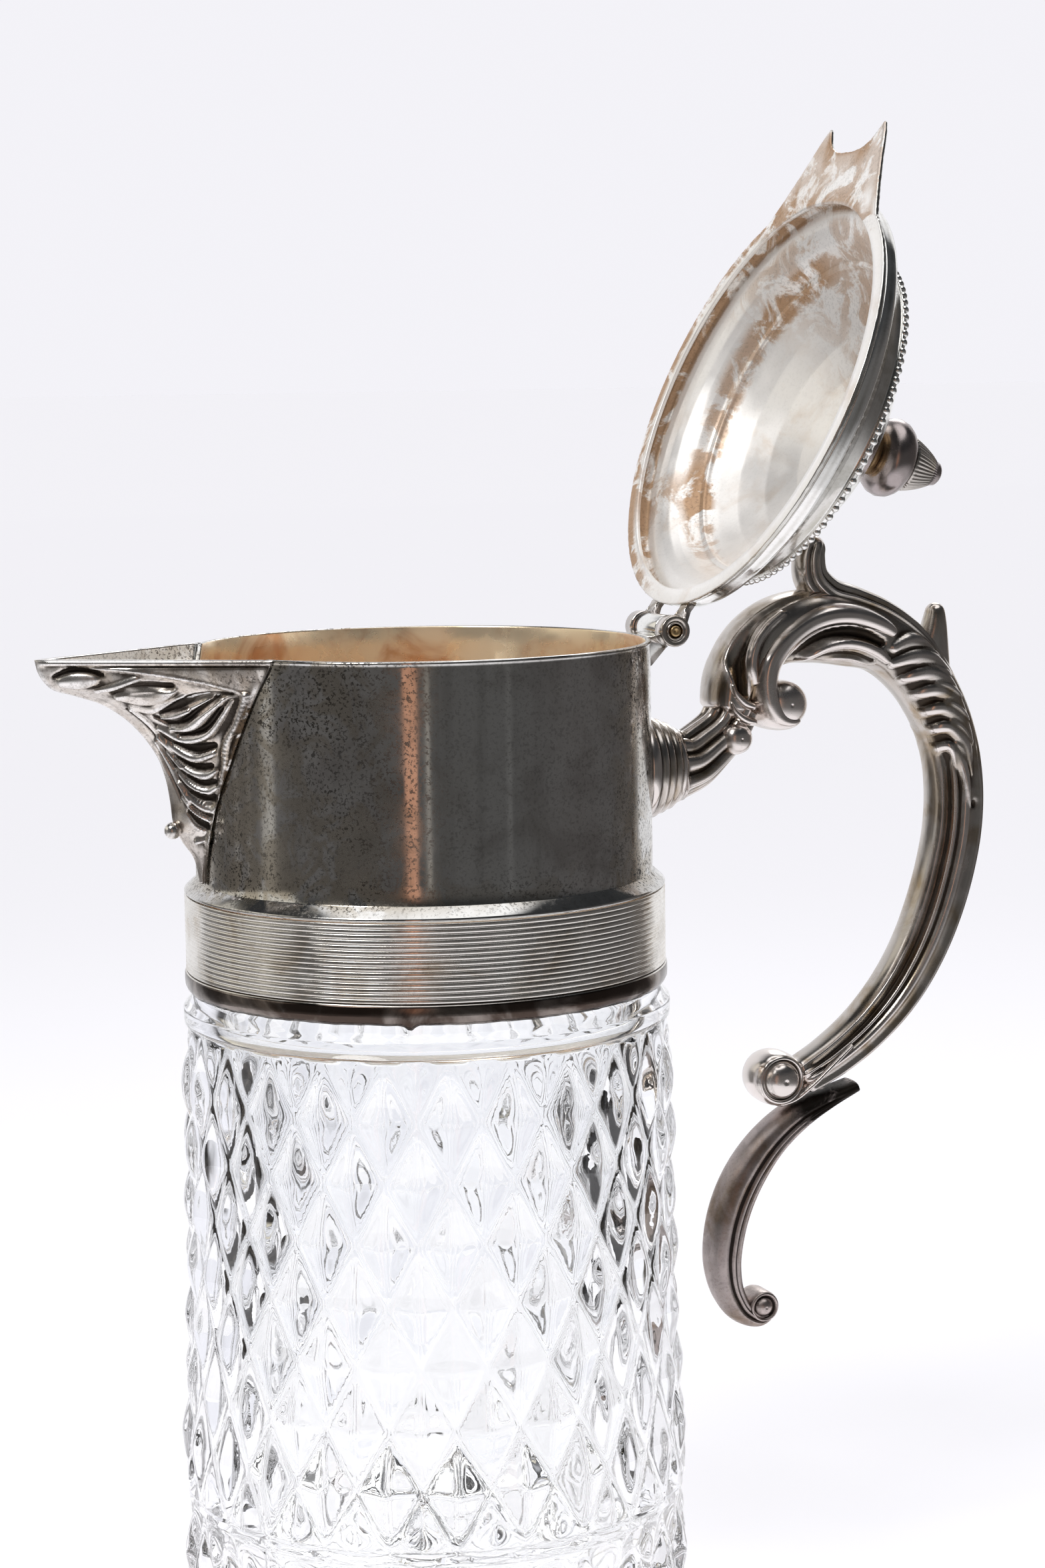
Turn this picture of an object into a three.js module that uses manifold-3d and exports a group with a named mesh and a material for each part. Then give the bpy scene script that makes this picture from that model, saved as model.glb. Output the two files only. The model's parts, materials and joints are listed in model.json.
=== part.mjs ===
// Claret-jug style water pitcher: a diamond-cut glass body with silver-plated mounts.
// Millimetres, +Z up. The origin is the centre of the glass foot's underside.
// The spout points to -X, the handle and the lid's hinge are on +X, and the XZ plane is
// the plane of symmetry. The lid is shown open, leaning back on the handle's thumb leaf.

import * as THREE from 'three';
import { mergeVertices } from 'three/addons/utils/BufferGeometryUtils.js';
import Module from 'manifold-3d';

// ---- driving dimensions -------------------------------------------------------------

const RIM_Z = 188; // top edge of the collar above the table
const GAP = 0.3; // clearance between touching pieces

const BARREL_R = 43; // outside of the plain collar
const SHEET = 1; // thickness of the collar's sheet metal
const SHOULDER_Z = RIM_Z - 43.1; // where the plain collar ends and the bevel starts
const BAND_TOP_Z = RIM_Z - 45.6; // joint between the bevel and the reeded band
const BAND_R = 45.3; // outside of the reeded band
const HEM_Z = RIM_Z - 60.3; // start of the plain hem under the reeding
const COLLAR_BOTTOM_Z = RIM_Z - 64.15;

const GLASS_TOP_Z = RIM_Z - 46.6; // glass lip, hidden inside the band
const NECK_R = 42.6; // glass neck that the band is cemented to
const RING_TOP_Z = RIM_Z - 66.8; // plain glass ring under the collar
const CUT_TOP_Z = RIM_Z - 70.8; // start of the diamond cutting
const CUT_BOTTOM_Z = RIM_Z - 160; // plain groove under the diamonds
const FOOT_CUT_TOP_Z = CUT_BOTTOM_Z - 2.4; // start of the second row of cutting
const FOOT_CUT_BOTTOM_Z = 3.2;
const FOOT_R = 48.6;
const DIAMONDS = 24; // diamonds around the body
const CUT_ROWS = 8; // half-rows of diamonds
const CUT_DEPTH = 1.7; // height of a diamond's point over the valleys
const GLASS_INNER_R = 39.6;
const GLASS_FLOOR_Z = 12;

const SPOUT_REACH = 73.5; // lip of the spout from the collar's axis
const SPOUT_WALL = 1.4;
const SPOUT_HALF_ANGLE = 33.5; // degrees from -X to each end of the spout at the rim
const SPOUT_MOUTH_DROP = 35; // depth of the collar's V-shaped mouth behind the spout
const SPOUT_BEAD_R = 2;

const PIN_X = 48.5; // hinge pin axis
const PIN_Z = RIM_Z + 0.6;
const PIN_R = 1.1;
const KNUCKLE_R = 2.85;
const KNUCKLE_HALF = 4.9; // half length of the middle knuckle
const HINGE_HALF = 8.6; // half length of the whole hinge
const OPEN_ANGLE = 114.4; // degrees from shut to leaning on the thumb leaf

const FLANGE_R = 43.5; // edge of the lid's flat flange
const FLANGE_T = 0.9;
const FLANGE_INNER_R = 40.2;
const BEAK_HALF_ANGLE = 32.2; // degrees from -X to where the flange leaves its circle
const LID_SHEET = 0.9;
const LID_RISE = 23.6; // height of the dome over the flange
const BEAD_RING_R = 33.9; // centre line of the beaded ring on the lid
const BEAD_RING_H = 11.1;
const BEAD_R = 0.75;
const FINIAL_LEAN = 6; // degrees that the finial leans towards the spout

// ---- geometry helpers ---------------------------------------------------------------

const wasm = await Module();
wasm.setup();

const RAD = Math.PI / 180;

/** Merge a geometry's vertices, drop collapsed triangles and turn its faces outwards. */
function weld(geometry) {
  const source = geometry.clone();
  source.deleteAttribute('normal');
  source.deleteAttribute('uv');
  const merged = mergeVertices(source, 1e-4);
  const index = merged.index.array;
  const kept = [];
  for (let i = 0; i < index.length; i += 3) {
    const [a, b, c] = [index[i], index[i + 1], index[i + 2]];
    if (a !== b && b !== c && c !== a) kept.push(a, b, c);
  }
  merged.setIndex(kept);
  if (signedVolume(merged) < 0) {
    for (let i = 0; i < kept.length; i += 3) [kept[i], kept[i + 1]] = [kept[i + 1], kept[i]];
    merged.setIndex(kept);
  }
  return merged;
}

function signedVolume(geometry) {
  const position = geometry.attributes.position;
  const index = geometry.index.array;
  const [a, b, c] = [new THREE.Vector3(), new THREE.Vector3(), new THREE.Vector3()];
  let sum = 0;
  for (let i = 0; i < index.length; i += 3) {
    a.fromBufferAttribute(position, index[i]);
    b.fromBufferAttribute(position, index[i + 1]);
    c.fromBufferAttribute(position, index[i + 2]);
    sum += a.dot(b.cross(c)) / 6;
  }
  return sum;
}

function toSolid(geometry) {
  const welded = weld(geometry);
  const vertProperties = new Float32Array(welded.attributes.position.array);
  const triVerts = new Uint32Array(welded.index.array);
  return new wasm.Manifold(new wasm.Mesh({ numProp: 3, vertProperties, triVerts }));
}

function toGeometry(manifold) {
  const mesh = manifold.getMesh();
  const geometry = new THREE.BufferGeometry();
  geometry.setAttribute('position', new THREE.BufferAttribute(mesh.vertProperties, 3));
  geometry.setIndex(new THREE.BufferAttribute(mesh.triVerts, 1));
  return geometry;
}

/** Join the first geometry with others, then cut more away from it. */
function combine(base, { add = [], cut = [] }) {
  let solid = toSolid(base);
  for (const piece of add) solid = solid.add(toSolid(piece));
  for (const piece of cut) solid = solid.subtract(toSolid(piece));
  return toGeometry(solid);
}

/** Turned solid about the Z axis from [radius, z] points. */
function turned(profile, segments = 64) {
  const points = profile.map(([r, z]) => new THREE.Vector2(r, z));
  return weld(new THREE.LatheGeometry(points, segments).rotateX(Math.PI / 2));
}

/** Turned ring: the same, with the profile closed on itself. */
function turnedRing(profile, segments = 64) {
  return turned([...profile, profile[0]], segments);
}

/** Plain cylinder about the Z axis from z0 to z1. */
function rod(radius, z0, z1, segments = 32) {
  return turned([[0, z0], [radius, z0], [radius, z1], [0, z1]], segments);
}

/** Cylinder along Y through (x, z), from y0 to y1. */
function crossRod(radius, x, z, y0, y1, segments = 24) {
  return rod(radius, -y1, -y0, segments).rotateX(Math.PI / 2).translate(x, 0, z);
}

/** Plate with an outline of [x, z] points, from y0 to y1. */
function plate(outline, y0, y1) {
  const shape = new THREE.Shape(outline.map(([x, z]) => new THREE.Vector2(x, z)));
  const geometry = new THREE.ExtrudeGeometry(shape, { depth: y1 - y0, bevelEnabled: false });
  return weld(geometry.rotateX(Math.PI / 2).translate(0, y1, 0));
}

/** Closed skin over rings of points that all have the same count. */
function loft(rings) {
  const count = rings[0].length;
  const positions = rings.flat().flatMap((p) => [p.x, p.y, p.z]);
  const index = [];
  for (let r = 0; r + 1 < rings.length; r += 1) {
    for (let i = 0; i < count; i += 1) {
      const j = (i + 1) % count;
      const [a, b] = [r * count + i, r * count + j];
      index.push(a, b, b + count, a, b + count, a + count);
    }
  }
  for (const [r, turn] of [[0, false], [rings.length - 1, true]]) {
    const middle = new THREE.Vector3();
    for (const p of rings[r]) middle.addScaledVector(p, 1 / count);
    const centre = positions.length / 3;
    positions.push(middle.x, middle.y, middle.z);
    for (let i = 0; i < count; i += 1) {
      const [a, b] = [r * count + i, r * count + ((i + 1) % count)];
      index.push(centre, turn ? a : b, turn ? b : a);
    }
  }
  const geometry = new THREE.BufferGeometry();
  geometry.setAttribute('position', new THREE.Float32BufferAttribute(positions, 3));
  geometry.setIndex(index);
  return weld(geometry);
}

/** Bar that follows a curve in the XZ plane. Each station is [x, z, half depth, half width]. */
function bar(stations, { steps = 24, sides = 12, square = 0.7, grow = 0 } = {}) {
  const points = stations.map(([x, z]) => new THREE.Vector3(x, 0, z));
  const curve = new THREE.CatmullRomCurve3(points, false, 'centripetal');
  const sizes = new THREE.CatmullRomCurve3(
    stations.map(([, , depth, width]) => new THREE.Vector3(depth + grow, width + grow, 0)),
  );
  const rings = [];
  for (let k = 0; k <= steps; k += 1) {
    const t = k / steps;
    const centre = curve.getPoint(t);
    const along = curve.getTangent(t);
    const across = new THREE.Vector3(-along.z, 0, along.x);
    const size = sizes.getPoint(t);
    const ring = [];
    for (let i = 0; i < sides; i += 1) {
      const angle = ((i + 0.5) / sides) * 2 * Math.PI;
      const [c, s] = [Math.cos(angle), Math.sin(angle)];
      const depth = Math.sign(c) * Math.abs(c) ** square * size.x;
      const width = Math.sign(s) * Math.abs(s) ** square * size.y;
      ring.push(centre.clone().addScaledVector(across, depth).setY(width));
    }
    rings.push(ring);
  }
  return loft(rings);
}

// ---- glass --------------------------------------------------------------------------

/** Radius of the cut surface's valleys at a height. */
function glassValleyR(z) {
  const drop = (CUT_TOP_Z - z) / (CUT_TOP_Z - CUT_BOTTOM_Z);
  return 44.6 + 0.6 * drop + 2.2 * drop ** 4;
}

/**
 * Rings of a diamond-cut band. Points and valley crossings alternate like a chessboard,
 * so each diamond is two columns wide and two half-rows tall.
 */
function diamondRings(zTop, zBottom, rows, valleyR) {
  const rings = [];
  for (let row = 0; row <= rows; row += 1) {
    const z = zTop + ((zBottom - zTop) * row) / rows;
    const ring = [];
    for (let column = 0; column < DIAMONDS * 2; column += 1) {
      const isPoint = (row + column) % 2 === 1;
      const edgeRow = row === 0 || row === rows;
      const rise = isPoint ? CUT_DEPTH * (edgeRow ? 0.35 : 1) : 0;
      const angle = (column / (DIAMONDS * 2)) * 2 * Math.PI;
      const radius = valleyR(z) + rise;
      ring.push(new THREE.Vector3(radius * Math.cos(angle), radius * Math.sin(angle), z));
    }
    rings.push(ring);
  }
  return rings;
}

function plainRing(radius, z) {
  const ring = [];
  for (let column = 0; column < DIAMONDS * 2; column += 1) {
    const angle = (column / (DIAMONDS * 2)) * 2 * Math.PI;
    ring.push(new THREE.Vector3(radius * Math.cos(angle), radius * Math.sin(angle), z));
  }
  return ring;
}

/** Skin over the glass: quads between rings split along the valleys of the cutting. */
function glassBody() {
  const outside = [
    plainRing(NECK_R, GLASS_TOP_Z),
    plainRing(NECK_R, COLLAR_BOTTOM_Z + 1.2),
    plainRing(45, COLLAR_BOTTOM_Z - 1.2),
    plainRing(45.7, RING_TOP_Z),
    plainRing(45.7, CUT_TOP_Z + 1.4),
    ...diamondRings(CUT_TOP_Z, CUT_BOTTOM_Z, CUT_ROWS, glassValleyR),
    plainRing(FOOT_R - 0.8, CUT_BOTTOM_Z - 1.2),
    ...diamondRings(FOOT_CUT_TOP_Z, FOOT_CUT_BOTTOM_Z, 2, () => FOOT_R - CUT_DEPTH),
    plainRing(FOOT_R - 0.4, 1.4),
    plainRing(FOOT_R - 1.8, 0),
  ];
  const inside = [
    plainRing(GLASS_INNER_R + 1.4, GLASS_FLOOR_Z + 8),
    plainRing(GLASS_INNER_R + 1.2, GLASS_FLOOR_Z + 50),
    plainRing(GLASS_INNER_R, CUT_TOP_Z),
    plainRing(GLASS_INNER_R, GLASS_TOP_Z),
  ];
  const rings = [...outside, plainRing(GLASS_INNER_R - 5, GLASS_FLOOR_Z), ...inside];
  const count = DIAMONDS * 2;
  const positions = rings.flat().flatMap((p) => [p.x, p.y, p.z]);
  const index = [];
  const quad = (r, s, i) => {
    const j = (i + 1) % count;
    const [a, b, c, d] = [r * count + i, r * count + j, s * count + j, s * count + i];
    const valleyFirst = (i + r) % 2 === 1;
    if (valleyFirst) index.push(a, b, c, a, c, d);
    else index.push(a, b, d, b, c, d);
  };
  const floor = outside.length;
  for (let r = 0; r + 1 < outside.length; r += 1) {
    for (let i = 0; i < count; i += 1) quad(r, r + 1, i);
  }
  for (let r = floor; r + 1 < rings.length; r += 1) {
    for (let i = 0; i < count; i += 1) quad(r, r + 1, i);
  }
  for (let i = 0; i < count; i += 1) quad(rings.length - 1, 0, i);
  for (const [ring, z, turn] of [[floor - 1, 0, false], [floor, GLASS_FLOOR_Z, true]]) {
    const centre = positions.length / 3;
    positions.push(0, 0, z);
    for (let i = 0; i < count; i += 1) {
      const [a, b] = [ring * count + i, ring * count + ((i + 1) % count)];
      index.push(centre, turn ? b : a, turn ? a : b);
    }
  }
  const geometry = new THREE.BufferGeometry();
  geometry.setAttribute('position', new THREE.Float32BufferAttribute(positions, 3));
  geometry.setIndex(index);
  return weld(geometry);
}

/** Plaster that holds the collar's band on the glass neck. */
function cementRing() {
  const [r0, r1] = [NECK_R + GAP, BAND_R - SHEET - GAP];
  const [z0, z1] = [COLLAR_BOTTOM_Z + 1.6, GLASS_TOP_Z - 0.6];
  return turnedRing([[r0, z0], [r1, z0], [r1, z1], [r0, z1]], 40);
}

// ---- collar and spout ---------------------------------------------------------------

function collarBarrel() {
  const tube = turnedRing([
    [BARREL_R - SHEET, RIM_Z - 0.4],
    [BARREL_R - SHEET / 2, RIM_Z],
    [BARREL_R, RIM_Z - 0.4],
    [BARREL_R, SHOULDER_Z],
    [BAND_R, BAND_TOP_Z + 0.3],
    [BAND_R, BAND_TOP_Z],
    [BAND_R - SHEET, BAND_TOP_Z],
    [BARREL_R - SHEET, SHOULDER_Z - 0.6],
  ], 60);
  const mouthHalf = BARREL_R * Math.sin((SPOUT_HALF_ANGLE - 3) * RAD);
  const mouth = new THREE.Shape([
    new THREE.Vector2(-mouthHalf, 1),
    new THREE.Vector2(0, -SPOUT_MOUTH_DROP),
    new THREE.Vector2(mouthHalf, 1),
  ]);
  const wedge = new THREE.ExtrudeGeometry(mouth, { depth: 30, bevelEnabled: false })
    .rotateX(Math.PI / 2)
    .rotateZ(-Math.PI / 2)
    .translate(-BARREL_R + 20, 0, RIM_Z);
  return combine(tube, { cut: [wedge] });
}

function collarBand() {
  const inner = BAND_R - SHEET;
  return turnedRing([
    [inner, BAND_TOP_Z - GAP],
    [BAND_R, BAND_TOP_Z - GAP],
    [BAND_R, HEM_Z],
    [BAND_R + 0.25, HEM_Z - 0.4],
    [BAND_R + 0.25, COLLAR_BOTTOM_Z + 1.6],
    [BAND_R - 0.5, COLLAR_BOTTOM_Z],
    [inner, COLLAR_BOTTOM_Z + 0.2],
  ], 60);
}

/**
 * Level sections of the spout: depth under the rim, how far the keel stands out from the
 * axis, and the half angle of the seam on the collar.
 */
const SPOUT_SECTIONS = [
  [0, SPOUT_REACH, SPOUT_HALF_ANGLE],
  [2.2, 73, 31.8],
  [5.2, 70.8, 29],
  [6.8, 66.4, 27.6],
  [8.5, 61.7, 26.2],
  [11.5, 57.1, 23.8],
  [15.2, 53.6, 20.8],
  [18.8, 51.3, 17.9],
  [23.2, 49.8, 14],
  [27.5, 49.1, 10.4],
  [31, 48.9, 7.6],
  [34.7, 47.3, 5],
  [37.5, 45.1, 3.4],
  [42.6, 44.2, 1.6],
];

/** Wedge-shaped level slice of the spout, bulged a little between keel and seam. */
function spoutRing([drop, keel, halfAngle], inset) {
  const seamR = BARREL_R - 3;
  const angle = halfAngle * RAD;
  const seam = new THREE.Vector2(-BARREL_R * Math.cos(angle), BARREL_R * Math.sin(angle));
  const tip = new THREE.Vector2(-keel + inset * 1.8, 0);
  const root = new THREE.Vector2(-seamR * Math.cos(angle), seamR * Math.sin(angle));
  const side = [0.07, 0.3, 0.6].map((s) => {
    const point = tip.clone().lerp(seam, s);
    const bulge = 0.9 * Math.sin(Math.PI * s) * Math.min(1, drop / 12);
    return point.add(new THREE.Vector2(-bulge * 0.6, bulge * 0.8));
  });
  const half = [...side, seam, root].map((p) => new THREE.Vector2(p.x, Math.max(p.y - inset, 0.05)));
  const z = RIM_Z - drop;
  return [
    new THREE.Vector3(tip.x, 0, z),
    ...half.map((p) => new THREE.Vector3(p.x, p.y, z)),
    ...half.reverse().map((p) => new THREE.Vector3(p.x, -p.y, z)),
  ];
}

function spout() {
  const outer = loft(SPOUT_SECTIONS.map((section) => spoutRing(section, 0)));
  const hollowSections = SPOUT_SECTIONS.slice(0, 10);
  const hollow = loft([
    spoutRing([-1, SPOUT_REACH, SPOUT_HALF_ANGLE], SPOUT_WALL),
    ...hollowSections.map(([drop, keel, angle]) => spoutRing([drop, keel, angle], SPOUT_WALL)),
  ]);
  const bead = new THREE.SphereGeometry(SPOUT_BEAD_R, 12, 8).translate(-48.6, 0, RIM_Z - 32.4);
  return combine(outer, {
    add: [bead],
    cut: [hollow, rod(BARREL_R + GAP, RIM_Z - 60, RIM_Z + 5, 72)],
  });
}

// ---- handle -------------------------------------------------------------------------

const CUFF_Z = RIM_Z - 26;
const CUFF_END_X = 51.8;

/** Ribbed socket soldered to the collar, its foot shaped to the collar's curve. */
function handleCuff() {
  const profile = [[0, 38], [10.2, 38], [10.2, 46.2], [9.4, 46.8], [9.9, 47.6], [9.9, 48.6],
    [9, 49.2], [9.3, 50], [9, 51], [8.2, CUFF_END_X], [0, CUFF_END_X]];
  const socket = turned(profile, 28).rotateY(Math.PI / 2).translate(0, 0, CUFF_Z);
  return combine(socket, { cut: [rod(BARREL_R + GAP, CUFF_Z - 20, CUFF_Z + 20, 72)] });
}

/** Fluted neck between the cuff and the scroll. */
function handleNeck(scrollCut) {
  const neck = bar([
    [51, -25.9, 7.4, 7.4],
    [55, -25, 6.2, 6.6],
    [58.5, -22.6, 5.6, 6],
    [62, -19.5, 5.2, 6],
    [64.5, -15, 5.4, 6],
  ].map(liftToRim), { steps: 10, sides: 14, square: 0.9 });
  const lobe = new THREE.SphereGeometry(3.4, 12, 8).scale(1, 1.5, 1).translate(64.3, 0, RIM_Z - 20.6);
  const cuffSide = rod(16, 30, CUFF_END_X + GAP).rotateY(Math.PI / 2).translate(0, 0, CUFF_Z);
  return combine(neck, { add: [lobe], cut: [scrollCut, cuffSide] });
}

function liftToRim([x, drop, depth, width]) {
  return [x, RIM_Z + drop, depth, width];
}

/** Great scroll: over the arch, down the grip and in to the lower volute. */
const SCROLL_STATIONS = [
  [61.8, -16.9, 3.6, 6],
  [63.8, -9.8, 4.9, 6.6],
  [67.8, -4.2, 5.8, 7],
  [73.4, -1, 6.6, 7.2],
  [80, -0.2, 7.2, 7.2],
  [88, -1.4, 7, 7],
  [96.4, -4.2, 6.2, 6.6],
  [104, -10.4, 6, 6.2],
  [109, -18, 5.8, 5.8],
  [111.8, -26, 5.7, 5.6],
  [112.8, -34, 5.7, 5.5],
  [112.4, -42.4, 5.7, 5.5],
  [110.8, -50.2, 5.7, 5.4],
  [108.3, -58, 5.6, 5.4],
  [104.8, -65.8, 5.4, 5.3],
  [99.6, -73.8, 5.1, 5.2],
  [92.6, -81, 4.6, 5.1],
  [84.6, -86.6, 4.1, 5],
  [77, -90.4, 3.6, 5],
].map(liftToRim);

function handleScroll(grow = 0) {
  const grip = bar(SCROLL_STATIONS, { steps: 45, sides: 14, grow });
  const upperVolute = crossRod(4.9 + grow, 72.6, RIM_Z - 14.2, -5.8 - grow, 5.8 + grow, 20);
  const upperCurl = bar([
    [70.4, -10.8, 4, 5.6],
    [73, -6.8, 5, 6.4],
    [78.4, -2.8, 5.4, 6.6],
  ].map(liftToRim), { steps: 6, sides: 14, grow });
  const lowerVolute = crossRod(4.7 + grow, 73.4, RIM_Z - 89.8, -5.4 - grow, 5.4 + grow, 20);
  return combine(grip, { add: [upperVolute, upperCurl, lowerVolute] });
}

/** Leaf strap over the arch: thumb tongue in front, pointed spur behind. */
function handleLeaf(scrollCut) {
  const outline = [
    [79.4, 4], [78.2, 8], [77.6, 11.4], [78.4, 15.4], [80.4, 17.8], [82.6, 17.9], [83.8, 16.6],
    [84.2, 13.4], [85.8, 10.2], [90, 7.6], [95.4, 5], [101, 1.8], [104.2, 1], [106.2, 2.8],
    [107.6, 3.4], [108.7, 2.6], [109.3, 0.4], [109.9, -2.4], [112.2, -6.8], [115, -12.8],
    [117.2, -19.6], [118.2, -27], [114, -26], [108, -14], [98, -4], [86, 2],
  ].map(([x, drop]) => [x, RIM_Z + drop]);
  return combine(plate(outline, -3.6, 3.6), { cut: [scrollCut] });
}

/** Curled tail brazed under the lower volute. */
function handleTail(scrollCut) {
  const tail = bar([
    [89.6, -92.4, 1.3, 3.6],
    [84, -94.7, 1.9, 3.8],
    [77.6, -97.4, 2.9, 4],
    [71.6, -101.8, 3.4, 4.2],
    [66.8, -107.4, 3.8, 4.3],
    [63.4, -113.6, 3.9, 4.3],
    [61.5, -120, 3.8, 4.2],
    [61, -126.4, 3.5, 4],
    [62.4, -132.4, 2.9, 3.8],
    [65.2, -136.4, 2.3, 3.6],
    [68.4, -137.6, 1.6, 3.4],
  ].map(liftToRim), { steps: 26, sides: 12, square: 0.8 });
  const curl = crossRod(2.8, 69, RIM_Z - 135.4, -3.6, 3.6, 16);
  return combine(tail, { add: [curl], cut: [scrollCut] });
}

// ---- hinge --------------------------------------------------------------------------

/** Middle knuckle with the gusset that is soldered to the back of the collar. */
function hingeBracket() {
  const web = plate([
    [42, RIM_Z - 7.6], [47.4, RIM_Z - 3], [49.6, RIM_Z - 1.4],
    [48.5, RIM_Z + 1.8], [46, RIM_Z - 0.4], [42, RIM_Z - 0.4],
  ], -KNUCKLE_HALF, KNUCKLE_HALF);
  return combine(web, {
    add: [crossRod(KNUCKLE_R, PIN_X, PIN_Z, -KNUCKLE_HALF, KNUCKLE_HALF)],
    cut: [
      crossRod(PIN_R + GAP, PIN_X, PIN_Z, -HINGE_HALF, HINGE_HALF),
      rod(BARREL_R + GAP, RIM_Z - 20, RIM_Z + 10, 72),
    ],
  });
}

function hingePin() {
  return crossRod(PIN_R, PIN_X, PIN_Z, -HINGE_HALF - 0.1, HINGE_HALF + 0.1, 16);
}

/** Outer knuckle on an arm that reaches in to the lid's wall. Lid frame, pin at the origin. */
function lidEar(y0, y1) {
  const arm = plate([[-7, 0.2], [-2, -1.6], [0.6, 2], [-3, 3.6], [-7, 3.4]], y0, y1);
  return combine(arm, {
    add: [crossRod(KNUCKLE_R, 0, 0, y0, y1)],
    cut: [
      crossRod(PIN_R + GAP, 0, 0, y0 - 1, y1 + 1),
      rod(FLANGE_R + GAP, -5, 8, 72).translate(-PIN_X, 0, 0),
    ],
  });
}

// ---- lid: modelled shut, with the pin at the origin and the lid's axis at x = -PIN_X ----

const FLANGE_Z = -0.25; // underside of the flange, just over the rim when shut

/** Flat flange with the beak that covers the spout. */
function lidFlange() {
  const cornerAngle = BEAK_HALF_ANGLE * RAD;
  const [cornerX, cornerY] = [FLANGE_R * Math.cos(cornerAngle), FLANGE_R * Math.sin(cornerAngle)];
  const shape = new THREE.Shape();
  shape.absarc(0, 0, FLANGE_R, -Math.PI + cornerAngle, Math.PI - cornerAngle, false);
  shape.quadraticCurveTo(-45.6, 17, -56.6, 11.4);
  shape.quadraticCurveTo(-49.4, 7, -51.1, 0);
  shape.quadraticCurveTo(-49.4, -7, -56.6, -11.4);
  shape.quadraticCurveTo(-45.6, -17, -cornerX, -cornerY);
  const hole = new THREE.Path();
  hole.absarc(0, 0, FLANGE_INNER_R, 0, 2 * Math.PI, true);
  shape.holes.push(hole);
  const options = { depth: FLANGE_T, bevelEnabled: false, curveSegments: 26 };
  return weld(new THREE.ExtrudeGeometry(shape, options).translate(-PIN_X, 0, FLANGE_Z));
}

/** Height of the lid's outer surface over the flange's top, by radius. */
const LID_PROFILE = [
  [42.9, 0], [42.9, 2.4], [42.3, 3], [38.8, 4], [36, 5.8], [34, 8.4], [32.8, 9.8],
  [30.8, 11.9], [27.2, 14.7], [21.8, 18.1], [15, 20.9], [8, 22.8], [0, LID_RISE],
];

function lidShell() {
  const base = FLANGE_Z + FLANGE_T + GAP;
  const outer = LID_PROFILE.map(([r, z]) => [r, base + z]);
  const inner = LID_PROFILE.slice(0, -1).reverse().map(([r, z]) => [
    r - LID_SHEET * (r > 30 ? 1.25 : 0.4), base + Math.max(z - LID_SHEET, 0)]);
  const profile = [[0, base + LID_RISE - LID_SHEET], ...inner, ...outer];
  return turned(profile, 48).translate(-PIN_X, 0, 0);
}

/** Plain solid of the beaded wire around the lid's dome. */
function beadRing() {
  const z = FLANGE_Z + FLANGE_T + BEAD_RING_H;
  const profile = [];
  for (let i = 0; i < 6; i += 1) {
    const angle = (i / 6) * 2 * Math.PI;
    profile.push([BEAD_RING_R + BEAD_R * Math.cos(angle), z + BEAD_R * Math.sin(angle)]);
  }
  return turnedRing(profile, 48).translate(-PIN_X, 0, 0);
}

const FINIAL_Z = FLANGE_Z + FLANGE_T + LID_RISE + 2 * GAP;

/** Brass stud between the dome and the knop. */
function finialStud() {
  const profile = [[0, 0.3], [5.6, 0.5], [5.9, 1.6], [4.6, 2.6], [4.6, 3.6], [0, 3.6]];
  return turned(profile, 24);
}

/** Knop: a bun with a ribbed cone on it. */
function finialKnop() {
  const profile = [[0, 3.9], [5.2, 4], [7.2, 5.2], [7.9, 7.4], [7.2, 9.8], [5.6, 11], [5.2, 11.4],
    [4.4, 13.6], [3.4, 16], [2.4, 18], [1.2, 19], [0, 19.3]];
  return turned(profile, 28);
}

// ---- assembly -----------------------------------------------------------------------

function metal(color, roughness) {
  return new THREE.MeshStandardMaterial({ color, roughness, metalness: 1 });
}

function part(name, geometry, material) {
  const mesh = new THREE.Mesh(geometry, material);
  mesh.name = name;
  return mesh;
}

function nonMetal(color, roughness) {
  return new THREE.MeshStandardMaterial({ color, roughness, metalness: 0 });
}

const glass = () => nonMetal(0xe9eef0, 0.03);
const plaster = () => nonMetal(0xd8d4cb, 0.9);
const silverPlate = () => metal(0x9b9c97, 0.22);
const silverCast = () => metal(0x8b8580, 0.35);
const brass = () => metal(0xb08b4f, 0.35);

const pitcher = new THREE.Group();
const scrollCut = handleScroll(GAP);

pitcher.add(
  part('glass_body', glassBody(), glass()),
  part('cement_ring', cementRing(), plaster()),
  part('collar_barrel', collarBarrel(), silverPlate()),
  part('collar_band', collarBand(), silverPlate()),
  part('spout', spout(), silverCast()),
  part('handle_cuff', handleCuff(), silverCast()),
  part('handle_neck', handleNeck(scrollCut), silverCast()),
  part('handle_scroll', handleScroll(), silverCast()),
  part('handle_leaf', handleLeaf(scrollCut), silverCast()),
  part('handle_tail', handleTail(scrollCut), silverCast()),
  part('hinge_bracket', hingeBracket(), silverCast()),
  part('hinge_pin', hingePin(), brass()),
);

const lid = new THREE.Group();
lid.position.set(PIN_X, 0, PIN_Z);
lid.rotation.y = OPEN_ANGLE * RAD;

const finial = new THREE.Group();
finial.position.set(-PIN_X, 0, FINIAL_Z);
finial.rotation.y = -FINIAL_LEAN * RAD;
finial.add(
  part('finial_stud', finialStud(), brass()),
  part('finial_knop', finialKnop(), silverCast()),
);

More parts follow.
